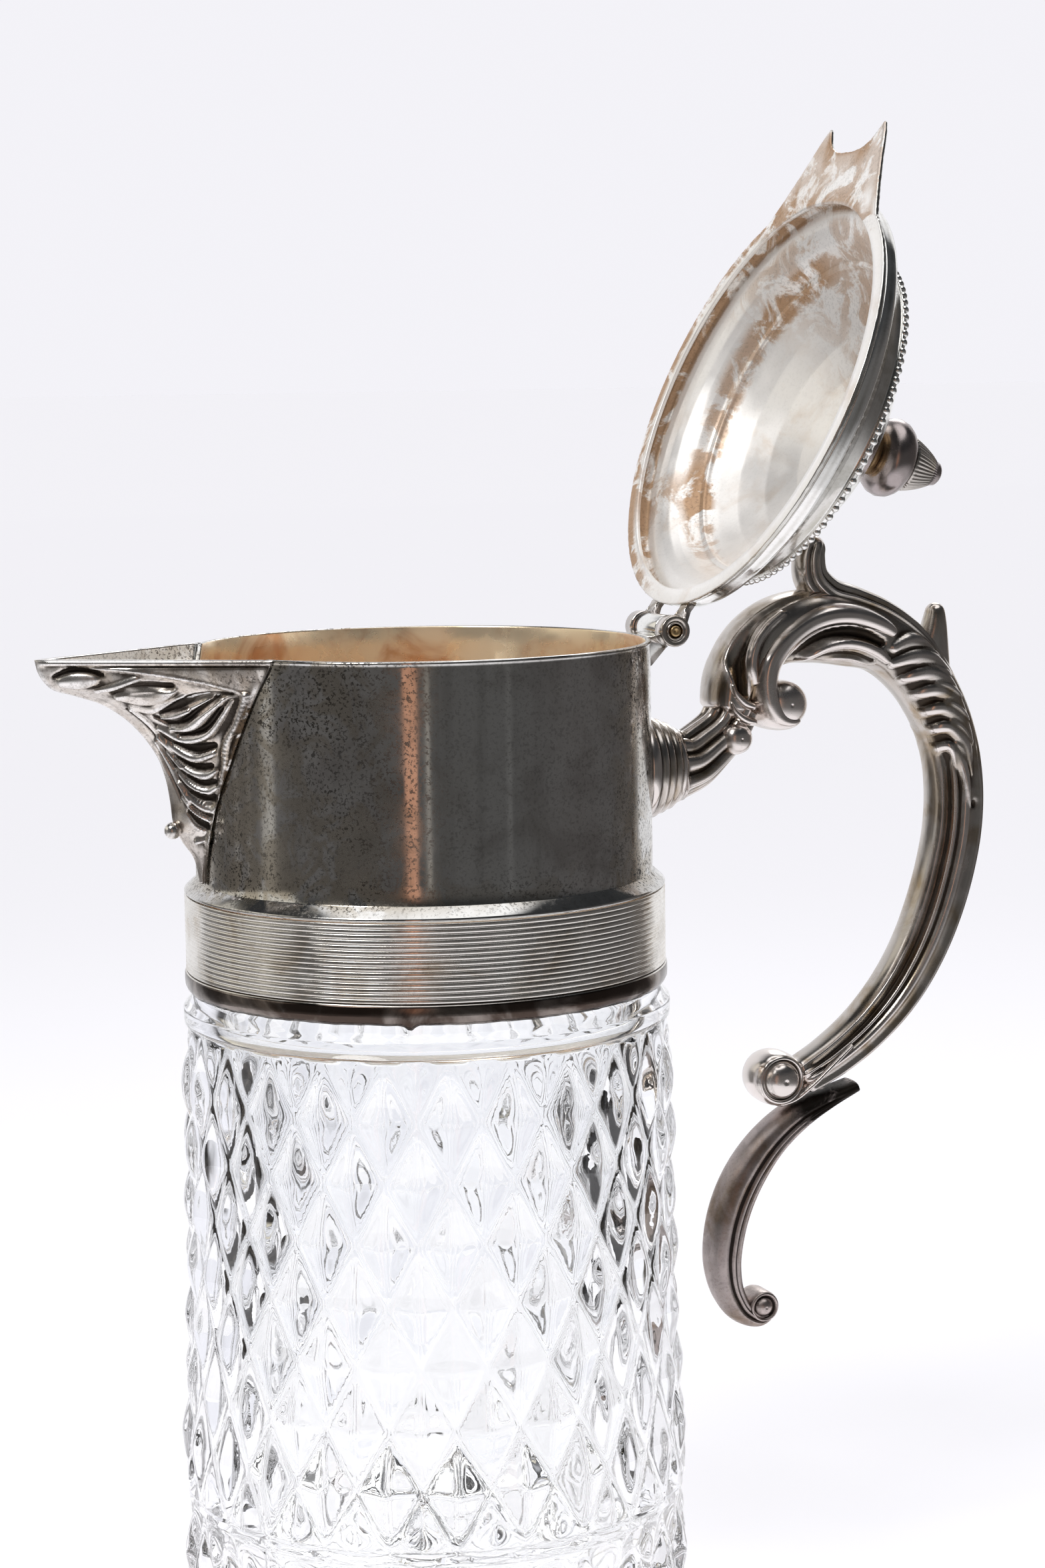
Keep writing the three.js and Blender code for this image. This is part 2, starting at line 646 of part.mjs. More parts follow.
lid.add(
  part('lid_flange', lidFlange(), silverPlate()),
  part('lid_shell', lidShell(), silverPlate()),
  part('lid_bead_ring', beadRing(), silverPlate()),
  part('lid_ear_near', lidEar(-HINGE_HALF, -KNUCKLE_HALF - GAP), silverCast()),
  part('lid_ear_far', lidEar(KNUCKLE_HALF + GAP, HINGE_HALF), silverCast()),
  finial,
);
pitcher.add(lid);

export default pitcher;
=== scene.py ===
"""Cut-glass water pitcher with silver-plated mounts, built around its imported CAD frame.

Sizes are in millimetres until make_piece() turns them into metres. Collar, spout, handle and
hinge are made with z = 0 at the collar's rim, and a "drop" counts down from it. The spout
points to -X and the handle to +X. The lid's pieces are made shut, with the hinge pin at the
origin, and then swung open. Longer tables are text, which numbers() and strokes() read.
"""

import json
import math

import bmesh
import bpy
import numpy as np
from mathutils import Matrix, Vector


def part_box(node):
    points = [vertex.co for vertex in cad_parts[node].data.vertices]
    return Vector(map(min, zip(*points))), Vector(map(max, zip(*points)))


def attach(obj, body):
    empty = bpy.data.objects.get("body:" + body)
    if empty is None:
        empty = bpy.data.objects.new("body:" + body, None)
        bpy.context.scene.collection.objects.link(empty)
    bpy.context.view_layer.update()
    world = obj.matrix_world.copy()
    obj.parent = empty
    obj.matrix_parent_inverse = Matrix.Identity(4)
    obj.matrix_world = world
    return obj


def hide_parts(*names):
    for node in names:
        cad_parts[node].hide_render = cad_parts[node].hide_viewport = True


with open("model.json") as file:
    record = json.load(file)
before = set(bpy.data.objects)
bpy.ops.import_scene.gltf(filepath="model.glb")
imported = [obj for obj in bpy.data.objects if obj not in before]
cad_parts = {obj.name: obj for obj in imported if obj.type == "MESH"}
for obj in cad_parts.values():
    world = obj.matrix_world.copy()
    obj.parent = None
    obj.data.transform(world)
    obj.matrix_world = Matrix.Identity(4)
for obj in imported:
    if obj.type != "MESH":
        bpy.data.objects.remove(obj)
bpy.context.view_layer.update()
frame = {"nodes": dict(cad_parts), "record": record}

MM = 0.001
RAD = math.pi / 180

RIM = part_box("collar_barrel")[1][2] / MM
BARREL_R = 43.0
BAND_R = 45.3
SHEET = 1.0
SHOULDER = -43.1
BAND_TOP = -45.6
HEM = -60.3
COLLAR_END = -64.15
REEDS = 15
COLLAR_CLEAR_R = BARREL_R + 0.3

HINGE = frame["record"]["behaviour"]["joints"][0]
PIN = np.array(HINGE["pos_m"]) / MM
OPEN = -HINGE["range_deg"][0] * RAD
KNUCKLE_R = 2.85
EAR_R = 3.0
KNUCKLE_HALF = 4.9
HINGE_HALF = 8.6
HINGE_GAP = 0.3
PIN_R = 1.1
PIN_HOLE_R = 1.4


# ---- mesh helpers ----


def numbers(text, width=2):
    """A table written as plain numbers, in rows of the given width."""
    return np.array(text.split(), float).reshape(-1, width)


def strokes(text):
    """Strokes parted by semicolons: a height, then x, z and half width of each point."""
    rows = [np.array(stroke.split(), float) for stroke in text.split(";")]
    return [(row[0], row[1:].reshape(-1, 3)) for row in rows]


def ease(low, high, value):
    """Smooth step from 0 at low to 1 at high."""
    t = np.clip((np.asarray(value, float) - low) / (high - low), 0, 1)
    return t * t * (3 - 2 * t)


def circle(count):
    return np.linspace(0, 2 * np.pi, count, endpoint=False)


def run_along(line):
    """Distance along a line of points, from its first one."""
    gaps = np.linalg.norm(np.diff(line, axis=0), axis=1)
    return np.concatenate([[0], np.cumsum(gaps)])


def spline(points, count, ends=False):
    """Smooth curve by chord length of the first two columns, denser at the ends if asked."""
    points = np.asarray(points, float)
    knots = run_along(points[:, :2])
    slopes = np.gradient(points, knots, axis=0)
    t = np.linspace(0, 1, count)
    if ends:
        t = 0.65 * t + 0.35 * (0.5 - 0.5 * np.cos(np.pi * t))
    t = t * knots[-1]
    k = np.clip(np.searchsorted(knots, t, side="right") - 1, 0, len(knots) - 2)
    h = (knots[k + 1] - knots[k])[:, None]
    s = (t[:, None] - knots[k][:, None]) / h
    return (
        (2 * s**3 - 3 * s**2 + 1) * points[k]
        + (s**3 - 2 * s**2 + s) * h * slopes[k]
        + (3 * s**2 - 2 * s**3) * points[k + 1]
        + (s**3 - s**2) * h * slopes[k + 1]
    )


def grid(points, wrap_rows=False, wrap_cols=False):
    """Quads over a (rows, columns, 3) array of points."""
    rows, cols = points.shape[:2]
    index = np.arange(rows * cols).reshape(rows, cols)
    if wrap_rows:
        index = np.vstack([index, index[:1]])
    if wrap_cols:
        index = np.hstack([index, index[:, :1]])
    faces = np.stack([index[:-1, :-1], index[1:, :-1], index[1:, 1:], index[:-1, 1:]], -1)
    return points.reshape(-1, 3), faces.reshape(-1, 4)


def tube(points):
    """Closed tube over rings of points, with a fan at each end."""
    first, last = (np.repeat(p.mean(1, keepdims=True), points.shape[1], 1)
                   for p in (points[:1], points[-1:]))
    return grid(np.concatenate([first, points, last]), wrap_cols=True)


def turned(rings, angle):
    """Closed surface round Z from (radius, z) rings, whose values may differ by angle."""
    points = [np.stack(np.broadcast_arrays(r * np.cos(angle), r * np.sin(angle), z), -1)
              for r, z in rings]
    return grid(np.array(points), wrap_rows=True, wrap_cols=True)


def lathe(profile, segments, wobble=None):
    """Piece turned about Z from (radius, z) points. wobble(angle, r, z) may move each ring."""
    angle = circle(segments)
    return turned([wobble(angle, r, z) for r, z in profile] if wobble else profile, angle)


def join(*parts):
    """Several (vertices, faces) pairs as one."""
    starts = np.cumsum([0] + [len(vertices) for vertices, _ in parts])
    faces = [faces + start for (_, faces), start in zip(parts, starts)]
    return np.vstack([vertices for vertices, _ in parts]), np.vstack(faces)


def moved(part, offset):
    vertices, faces = part
    return vertices + np.array(offset, float), faces


def laid_on_y(part, origin):
    """A piece made about Z at the origin, laid along Y at a point."""
    x, y, z = part[0].T
    return moved((np.stack([x, z, -y], 1), part[1]), origin)


def spin_y(vertices, angle):
    x, y, z = vertices.T
    c, s = math.cos(angle), math.sin(angle)
    return np.stack([x * c + z * s, y, z * c - x * s], 1)


def to_lid(part):
    """From the shut lid's frame, whose origin is the hinge pin, to the open rest pose."""
    vertices, faces = part
    return spin_y(vertices, OPEN) + PIN, faces


def round_lid_axis(part, height=0):
    """A piece turned about the lid's own axis, set at a height over the pin."""
    return to_lid(moved(part, (-PIN[0], 0, height)))


def soft_box(outline, y0, y1, bevel):
    """Plate with an [x, z] outline between y0 and y1, its edges rounded over."""
    mesh = bmesh.new()
    near, far = ([mesh.verts.new((x, y, z)) for x, z in outline] for y in (y0, y1))
    mesh.faces.new(near)
    mesh.faces.new(list(reversed(far)))
    for i in range(len(outline)):
        j = (i + 1) % len(outline)
        mesh.faces.new((near[j], near[i], far[i], far[j]))
    edges = mesh.edges[:]
    bmesh.ops.bevel(mesh, geom=edges, offset=bevel, segments=3, profile=0.5, affect="EDGES")
    bmesh.ops.triangulate(mesh, faces=mesh.faces[:])
    mesh.verts.index_update()
    vertices = np.array([v.co[:] for v in mesh.verts])
    faces = np.array([[v.index for v in f.verts] for f in mesh.faces])
    mesh.free()
    return vertices, np.column_stack([faces, faces[:, 2]])


def stroke_field(x, z, table):
    """Height over a surface of the strokes in a table."""
    field = np.zeros_like(x)
    for height, points in table:
        line_x, line_z, half = spline(points, 44).T
        reach = half.max()
        near = (x > line_x.min() - reach) & (x < line_x.max() + reach)
        near &= (z > line_z.min() - reach) & (z < line_z.max() + reach)
        gap = np.hypot(x[near][:, None] - line_x, z[near][:, None] - line_z)
        ratio = gap / np.maximum(half, 0.05)
        taper = (half[ratio.argmin(1)] / reach) ** 0.7
        field[near] += height * taper * np.clip(1 - ratio.min(1) ** 2, 0, 1) ** 0.8
    return field


def relief_of(vertices, faces, passes):
    """How far each vertex lies from its smoothed surroundings, in mm."""
    edges = np.vstack([faces[:, [k, (k + 1) % 4]] for k in range(4)])
    edges = edges[edges[:, 0] != edges[:, 1]]
    count = np.bincount(edges.ravel(), minlength=len(vertices)).astype(float)
    a, b = edges.T
    smooth = vertices
    for _ in range(passes):
        total = [np.bincount(a, w[b], len(w)) + np.bincount(b, w[a], len(w)) for w in smooth.T]
        smooth = 0.5 * smooth + 0.5 * np.stack(total, 1) / np.maximum(count, 1)[:, None]
    return vertices - smooth


def linked(name, data):
    """A new object in the scene."""
    made = bpy.data.objects.new(name, data)
    bpy.context.scene.collection.objects.link(made)
    return made


def make_piece(name, part, body, node, slot, materials, *, passes=8, stain=None, pick=None):
    """
    A Blender object from millimetre vertices. pick(centres, normals) gives material numbers
    and stain(vertices) how stained the metal is, from 0 to 1. With more smoothing passes the
    "relief" attribute, which drives the painted shade and grime in the hollows and the rubbed
    edges with a painted highlight, takes in broader hollows.
    """
    vertices, faces = part
    mesh = bpy.data.meshes.new(name)
    loops = [list(dict.fromkeys(face)) for face in faces.tolist()]
    mesh.from_pydata((vertices * MM).tolist(), [], loops)
    offset = relief_of(vertices, faces, passes).astype(np.float32)
    layer = mesh.attributes.new("offset", "FLOAT_VECTOR", "POINT")
    layer.data.foreach_set("vector", offset.ravel())
    if stain:
        layer = mesh.attributes.new("stain", "FLOAT", "POINT")
        layer.data.foreach_set("value", np.clip(stain(vertices), 0, 1).astype(np.float32))
    work = bmesh.new()
    work.from_mesh(mesh)
    bmesh.ops.remove_doubles(work, verts=work.verts, dist=2e-6)
    bmesh.ops.dissolve_degenerate(work, edges=work.edges, dist=1e-6)
    bmesh.ops.recalc_face_normals(work, faces=work.faces)
    work.to_mesh(mesh)
    work.free()
    normals, offset = np.empty((2, len(mesh.vertices) * 3), np.float32)
    mesh.vertices.foreach_get("normal", normals)
    mesh.attributes["offset"].data.foreach_get("vector", offset)
    relief = (normals.reshape(-1, 3) * offset.reshape(-1, 3)).sum(1)
    mesh.attributes.remove(mesh.attributes["offset"])
    mesh.attributes.new("relief", "FLOAT", "POINT").data.foreach_set("value", relief)
    for material in materials:
        mesh.materials.append(material)
    if pick:
        centres = np.array([p.center[:] for p in mesh.polygons]) / MM
        facing = np.array([p.normal[:] for p in mesh.polygons])
        numbered = pick(centres, facing).astype(np.int32)
        mesh.polygons.foreach_set("material_index", numbered)
    mesh.shade_smooth()
    piece = linked(name, mesh)
    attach(piece, body)
    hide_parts(node)
    return piece


def fixed_piece(name, part, *labels, **looks):
    """A piece of the pitcher, made with z = 0 at the rim."""
    make_piece(name, moved(part, (0, 0, RIM)), "pitcher", *labels, **looks)


def lid_piece(name, part, *labels, **looks):
    make_piece(name, part, "lid", *labels, **looks)


# ---- materials ----


class Graph:
    """Short names for the nodes of one material or world."""

    def __init__(self, owner):
        owner.use_nodes = True
        self.owner, self.tree = owner, owner.node_tree
        self.tree.nodes.clear()

    def node(self, kind, inputs=None, **settings):
        node = self.tree.nodes.new("ShaderNode" + kind)
        for key, value in settings.items():
            setattr(node, key, value)
        for key, value in (inputs or {}).items():
            if isinstance(value, bpy.types.NodeSocket):
                self.tree.links.new(value, node.inputs[key])
            else:
                node.inputs[key].default_value = value
        return node

    def coords(self, scale=(1, 1, 1)):
        place = self.node("TexCoord").outputs["Object"]
        return self.node("Mapping", {"Vector": place, "Scale": scale}).outputs[0]

    def attribute(self, name):
        return self.node("Attribute", attribute_name=name).outputs["Fac"]

    def noise(self, where, scale, detail=3, roughness=0.55, distortion=0):
        return self.node("TexNoise", {
            "Vector": where, "Scale": scale, "Detail": detail, "Roughness": roughness,
            "Distortion": distortion}).outputs[0]

    def ramp(self, value, low, high, to_low=0, to_high=1):
        return self.node("MapRange", {
            "Value": value, "From Min": low, "From Max": high, "To Min": to_low,
            "To Max": to_high}, interpolation_type="SMOOTHSTEP").outputs[0]

    def math(self, operation, a, b=0.0, clamp=False):
        node = self.node("Math", {0: a, 1: b}, operation=operation, use_clamp=clamp)
        return node.outputs[0]

    def add(self, a, b, clamp=False):
        return self.math("ADD", a, b, clamp)

    def minus(self, a, b):
        return self.math("SUBTRACT", a, b)

    def times(self, a, b, clamp=False):
        return self.math("MULTIPLY", a, b, clamp)

    def between(self, value, a, b, c, d):
        """Smooth rise from a to b and fall from c to d."""
        return self.times(self.ramp(value, a, b), self.ramp(value, c, d, 1, 0))

    def mix(self, factor, a, b, blend="MIX"):
        a, b = (c if isinstance(c, bpy.types.NodeSocket) else (*c, 1) for c in (a, b))
        inputs = {0: factor, 6: a, 7: b}
        return self.node("Mix", inputs, data_type="RGBA", blend_type=blend).outputs[2]

    def bump(self, height, strength, distance):
        values = {"Strength": strength, "Distance": distance * MM, "Height": height}
        return self.node("Bump", values).outputs[0]

    def surface(self, inputs):
        """End the material with a principled shader, and return it."""
        shader = self.node("BsdfPrincipled", inputs)
        self.node("OutputMaterial", {"Surface": shader.outputs[0]})
        return self.owner


def metal(name, clean, film, recess, *, film_at=(0.45, 0.7), rough=(0.1, 0.3), speckle=0.0,
          cavity=0.12, wear_and_highlight=None, streaks=0.0, grain=0.02, stained=None, metallic=1.0):
    """
    Plated metal: patches of tarnish film over the clean colour, painted shade with grime in the
    recesses, rubbed edges lightened with a painted highlight, brown stains, fine pitted speckles
    and a little surface grain.
    """
    g = Graph(bpy.data.materials.new(name))
    where = g.coords()
    patches = g.noise(where, 75, 5, 0.6, 0.6)
    color = g.mix(g.ramp(patches, *film_at), clean, film)
    fine = g.noise(where, 900, 2, 0.6)
    relief = g.attribute("relief")
    jitter = g.times(g.minus(g.noise(where, 420), 0.5), 0.6 * cavity)
    level = g.add(relief, jitter)
    # Hollows found from the relief attribute are darkened: painted shade standing in for
    # occlusion, together with grime.
    shade_and_dirt = g.ramp(level, -cavity, -0.1 * cavity, 1, 0)
    roughness = g.ramp(g.noise(where, 160, 4), 0.35, 0.7, *rough)
    if streaks:
        tall = g.noise(g.coords((260, 260, 7)), 1, 3)
        color = g.mix(g.ramp(tall, 0.5, 0.75, 0, streaks), color, (0.12, 0.11, 0.09))
    # Raised relief is lightened towards this colour: rubbed plate plus a painted highlight.
    if wear_and_highlight:
        color = g.mix(g.ramp(level, 0.3 * cavity, 1.3 * cavity), color, wear_and_highlight)
    stain = g.attribute("stain")
    if stained:
        cloud = g.noise(where, 130, 5, 0.65, 0.8)
        blotch = g.ramp(g.add(cloud, g.times(stain, 0.08)), 0.48, 0.6)
        blotch = g.times(blotch, stain, clamp=True)
        color = g.mix(blotch, color, stained)
        roughness = g.add(roughness, g.times(blotch, 0.12))
    if speckle:
        crowd = g.add(g.times(stain, 0.8), 0.2)
        crowd = g.times(crowd, g.ramp(g.noise(where, 70, 3), 0.34, 0.6, 0.5, 1))
        fine_dots = g.ramp(g.noise(where, 1700, 2, 0.7), 0.53, 0.62)
        big_dots = g.ramp(g.noise(where, 800, 3, 0.7), 0.6, 0.66)
        dots = g.add(fine_dots, big_dots, clamp=True)
        dots = g.times(dots, g.times(crowd, speckle), clamp=True)
        color = g.mix(dots, color, (0.04, 0.035, 0.028))
        roughness = g.add(roughness, g.times(dots, 0.3))
    # Painted shade and grime: the hollows are mixed towards the recess colour.
    color = g.mix(g.times(shade_and_dirt, 0.94), color, recess)
    roughness = g.add(roughness, g.times(shade_and_dirt, 0.3), clamp=True)
    inputs = {"Normal": g.bump(fine, 0.35, grain), "Metallic": metallic}
    return g.surface({**inputs, "Base Color": color, "Roughness": roughness})


def glass_material():
    g = Graph(bpy.data.materials.new("crystal"))
    ripple = g.noise(g.coords(), 110, 2)
    bump = g.bump(ripple, 0.12, 0.4)
    smudge = g.ramp(g.noise(g.coords(), 60, 4), 0.55, 0.85, 0, 0.03)
    inputs = {"Base Color": (0.985, 0.992, 0.99, 1), "Roughness": smudge, "IOR": 1.52}
    return g.surface({**inputs, "Transmission Weight": 1.0, "Normal": bump})


def plaster_material():
    g = Graph(bpy.data.materials.new("set_plaster"))
    tone = g.ramp(g.noise(g.coords(), 500, 5), 0.3, 0.7)
    color = g.mix(tone, (0.62, 0.59, 0.53), (0.82, 0.8, 0.75))
    return g.surface({"Base Color": color, "Roughness": 0.9, "Normal": g.bump(tone, 0.4, 0.2)})


PLATE = metal(
    "silver_plate", (0.64, 0.63, 0.61), (0.47, 0.45, 0.43), (0.1, 0.08, 0.06), speckle=1.0,
    streaks=0.2, rough=(0.05, 0.12), grain=0.004, stained=(0.44, 0.4, 0.34))
REEDED = metal(
    "reeded_plate", (0.82, 0.79, 0.74), (0.6, 0.53, 0.44), (0.06, 0.04, 0.028), cavity=0.05,
    rough=(0.14, 0.3), speckle=0.6, grain=0.01)
HEM_METAL = metal(
    "stained_hem", (0.27, 0.235, 0.21), (0.075, 0.055, 0.045), (0.02, 0.015, 0.012),
    film_at=(0.36, 0.52), rough=(0.08, 0.24), speckle=0.5, grain=0.01)
GILT = metal(
    "gilt_inside", (0.92, 0.75, 0.52), (0.62, 0.34, 0.18), (0.2, 0.1, 0.05),
    film_at=(0.44, 0.66), rough=(0.2, 0.42), grain=0.01, metallic=0.8)
SPOUT_METAL = metal(
    "spout_silver", (0.78, 0.73, 0.68), (0.58, 0.49, 0.39), (0.035, 0.025, 0.018), cavity=0.2,
    wear_and_highlight=(0.88, 0.85, 0.82), rough=(0.16, 0.34), speckle=0.8, stained=(0.1, 0.07, 0.045))
CAST = metal(
    "antique_silver", (0.56, 0.52, 0.48), (0.36, 0.28, 0.19), (0.035, 0.024, 0.016),
    cavity=0.22, wear_and_highlight=(0.8, 0.74, 0.7), rough=(0.16, 0.3))
TAIL_METAL = metal(
    "dull_silver", (0.46, 0.4, 0.385), (0.27, 0.2, 0.15), (0.03, 0.022, 0.018), cavity=0.14,
    wear_and_highlight=(0.56, 0.49, 0.46), rough=(0.32, 0.48), speckle=0.5, grain=0.04,
    stained=(0.035, 0.03, 0.026))
LID_OUT = metal(
    "lid_plate", (0.72, 0.7, 0.66), (0.5, 0.48, 0.42), (0.06, 0.05, 0.04),
    wear_and_highlight=(0.92, 0.91, 0.88), rough=(0.08, 0.22), speckle=0.5)
LID_IN = metal(
    "lid_inside", (0.93, 0.905, 0.87), (0.8, 0.72, 0.64), (0.34, 0.22, 0.12),
    film_at=(0.5, 0.74), cavity=0.5, rough=(0.3, 0.42), speckle=0.25,
    stained=(0.5, 0.325, 0.2), metallic=0.62)
KNOP_METAL = metal(
    "knop_silver", (0.4, 0.35, 0.34), (0.24, 0.2, 0.19), (0.05, 0.035, 0.03), cavity=0.06,
    rough=(0.2, 0.36), speckle=0.3)
BRASS = metal(
    "bare_brass", (0.62, 0.45, 0.24), (0.42, 0.29, 0.14), (0.12, 0.07, 0.03),
    rough=(0.25, 0.45))
CRYSTAL = glass_material()


# ---- glass: made with z = 0 at the foot ----

DIAMONDS = 24
CUT_TOP, CUT_END = RIM - 70.8, RIM - 160
FOOT_CUT_TOP, FOOT_CUT_END = CUT_END - 2.4, 3.2
CUT_ROWS, FOOT_ROWS = 8, 2
CUT_STEPS, FOOT_STEPS = CUT_ROWS * 14, 30
CUT_DEPTH = 2.3
FOOT_R = 48.6
COLUMNS = DIAMONDS * 16

# Radius and height: neck and shoulder outside, and neck inside, over the rim; then the foot's
# edge and the inside floor over the foot.
NECK_OUTSIDE = numbers("""
    42.6 -46.6  42.6 -63.2  43.1 -64.2  44.2 -65.4  45.1 -66.6  45.7 -67.1  45.95 -67.5
    46 -69  45.9 -70.2  45.6 -70.5  45.1 -70.6""") + (0, RIM)
FOOT_EDGE = numbers("48 2.2  47.8 1.2  47 .35  45.6 0  41 0  39.6 .5")
INSIDE_FLOOR = numbers(".01 .7  .01 12  20 12.1  31 12.8  36.5 14.6  39.6 18  40.7 22")
THROAT = numbers("40.2 -1  39.7 .6  38.6 2.6  37.9 5  37.7 8") + (0, CUT_TOP)
NECK_INSIDE = numbers("38.4 -50  39.6 -48  40.6 -46.9  41.6 -46.4") + (0, RIM)


def pyramid(column, row, pillow=0.3):
    """
    Height 0 to 1 of soft-edged diamonds whose points sit where column + row is odd. Their
    facets are flat at pillow 0 and wavy at 1.
    """
    near = np.round((column + row - 1) / 2)
    across = np.round((column - row + 1) / 2)
    soft = 0.09
    dc = np.sqrt((column - (near + across)) ** 2 + soft**2)
    dr = np.sqrt((row - (near - across + 1)) ** 2 + soft**2)
    height = np.clip(1.12 - dc - dr, 0, 1)
    return height * (1 - pillow) + pillow * (0.5 - 0.5 * np.cos(np.pi * height))


def valley_r(z):
    drop = (CUT_TOP - z) / (CUT_TOP - CUT_END)
    return 44.5 + 0.6 * drop + 2.2 * drop**4


def glass_part():
    angle = circle(COLUMNS)
    column = np.arange(COLUMNS) / COLUMNS * DIAMONDS * 2
    rings = [*NECK_OUTSIDE]
    for k in range(CUT_STEPS + 1):
        row = k / CUT_STEPS * CUT_ROWS
        z = CUT_TOP + (CUT_END - CUT_TOP) * k / CUT_STEPS
        fade = 0.35 + 0.65 * ease(0, 0.6, min(row, CUT_ROWS - row))
        pillow = 0.9 - 0.8 * ease(1.5, 6.5, row)
        rings.append((valley_r(z) + CUT_DEPTH * pyramid(column, row, pillow) * fade, z))
    rings += [(47.0, CUT_END - 0.7), (47.5, CUT_END - 1.5)]
    for k in range(FOOT_STEPS + 1):
        row = k / FOOT_STEPS * FOOT_ROWS
        z = FOOT_CUT_TOP + (FOOT_CUT_END - FOOT_CUT_TOP) * k / FOOT_STEPS
        fade = 0.3 + 0.7 * ease(0, 0.5, min(row, FOOT_ROWS - row))
        rings.append((FOOT_R - CUT_DEPTH + CUT_DEPTH * pyramid(column, row) * fade, z))
    rings += [*FOOT_EDGE]
    star = np.abs(np.sin(angle * DIAMONDS / 2))
    for r in np.linspace(38, 3, 24):
        rings.append((r, 0.7 + 1.3 * star * math.sin(math.pi * min(r / 39, 1))))
    rings += [*INSIDE_FLOOR]
    for z in np.linspace(24, CUT_TOP - 2.5, 54):
        wave = 0.16 * np.sin(9 * angle + z / 7) + 0.13 * np.sin(17 * angle - z / 5)
        wave += 0.13 * np.sin(z / 2.6 + 2 * np.sin(5 * angle))
        fade = ease(22, 70, z) * (1 - ease(CUT_TOP - 9, CUT_TOP - 3, z))
        rings.append((41 - 0.6 * ease(60, 100, z) + wave * fade, z))
    return turned(rings + [*THROAT, *NECK_INSIDE], angle)


glass = make_piece("glass_cut_body", glass_part(), "pitcher", "glass_body", "glass", [CRYSTAL])
glass.visible_shadow = False
glass.visible_diffuse = False
for place in frame["nodes"]["cement_ring"].material_slots:
    place.material = plaster_material()


# ---- collar ----

MOUTH_HALF = BARREL_R * math.sin(30.5 * RAD)
MOUTH_DROP = 35.0


def barrel_part():
    angle = np.pi + np.linspace(-np.pi, np.pi, 480, endpoint=False)
    y = BARREL_R * np.sin(angle)
    in_mouth = (np.cos(angle) < 0) & (np.abs(y) < MOUTH_HALF)
    top = np.where(in_mouth, -MOUTH_DROP * (1 - np.abs(y) / MOUTH_HALF), 0.0)
    bevel = numbers("-.12 0  0 .12  0 .34  -.14 .58") + (BAND_R, BAND_TOP)
    rings = [*bevel, (BARREL_R + 0.2, SHOULDER - 0.22), (BARREL_R, SHOULDER)]
    rings += [(BARREL_R, SHOULDER + (top - 1.3 - SHOULDER) * k / 11.5) for k in range(1, 12)]
    lip = numbers("""
        0 -1.1  0 -.78  .06 -.66  .16 -.5  .17 -.3  .08 -.1  -.2 0  -.68 0
        -.9 -.15  -1 -.42""")
    rings += [(BARREL_R + r, top + z) for r, z in lip]
    inside, under = BARREL_R - SHEET, top + lip[-1, 1]
    rings += [(inside, under + (SHOULDER - under) * k / 12) for k in range(1, 12)]
    return turned(rings + [(inside, SHOULDER - 0.6), (BAND_R - SHEET, BAND_TOP)], angle)


def inside_barrel(centres, normals):
    outward = (centres * normals)[:, :2].sum(1)
    return (outward < 0) & (np.hypot(*centres[:, :2].T) < BARREL_R - 0.8)


def barrel_stain(vertices):
    """Specks crowd towards the spout and at the back; a brown film lies along the foot."""
    x, y, z = vertices.T
    bearing = np.degrees(np.arctan2(y, x)) % 360
    near_spout = 1 - ease(228, 262, np.where(bearing < 90, 360.0, bearing))
    foot = ease(RIM + SHOULDER + 7, RIM + SHOULDER + 1, z)
    back = ease(296, 312, bearing) * 0.6
    return 0.08 + 0.8 * near_spout + 0.5 * foot + back - ease(SHOULDER, SHOULDER - 1, z - RIM)


def band_part():
    top = BAND_TOP - 0.3
    pitch = (top - HEM) / REEDS
    profile = [(BAND_R - SHEET, top)]
    for reed in range(REEDS):
        for step in (-0.97, -0.86, -0.68, -0.35, 0, 0.35, 0.68, 0.86, 0.97):
            bulge = (1 - abs(step) ** 3.2) ** 0.55
            z = top - pitch * (reed + 0.5 + step / 2)
            profile.append((BAND_R - 0.3 + 0.3 * bulge, z))
    hem = numbers("-.34 -.1  .12 -.3  .25 -.7  .27 -1.6  .2 -2.6  -.1 -3.3")
    profile += [*(hem + (BAND_R, HEM))]
    profile += [(BAND_R - 0.5, COLLAR_END), (BAND_R - SHEET, COLLAR_END + 0.3)]

    def ragged(angle, r, z):
        low = ease(HEM - 2.2, COLLAR_END, z)
        wave = 0.05 * np.sin(23 * angle + 1) + 0.03 * np.sin(61 * angle)
        wave = wave + 0.02 * np.sin(117 * angle + 2)
        drip = 0.9 * np.exp(-(((angle - 246.5 * RAD) / (1.1 * RAD)) ** 2))
        return r, z + low * (wave - drip)

    return lathe(profile, 420, ragged)


def below_hem(centres, normals):
    return centres[:, 2] < RIM + HEM - 0.2


fixed_piece("collar_barrel_sheet", barrel_part(), "collar_barrel", "silver_plate",
            [PLATE, GILT], pick=inside_barrel, passes=0, stain=barrel_stain)
fixed_piece("collar_band_reeded", band_part(), "collar_band", "silver_plate",
            [REEDED, HEM_METAL], pick=below_hem, passes=3)


# ---- spout ----

# Level sections: drop, reach of the keel from the axis, half angle of the seam in degrees.
SPOUT_SECTIONS = numbers("""
    0 73.5 33.5  2.2 73 31.8  5.2 70.8 29  6.8 66.4 27.6  8.5 61.7 26.2  11.5 57.1 23.8
    15.2 53.6 20.8  18.8 51.3 17.9  23.2 49.8 14  27.5 49.1 10.4  31 48.7 7.6  34.7 47 5
    37.5 45.1 3.4  42.6 43.9 1.6""", 3)

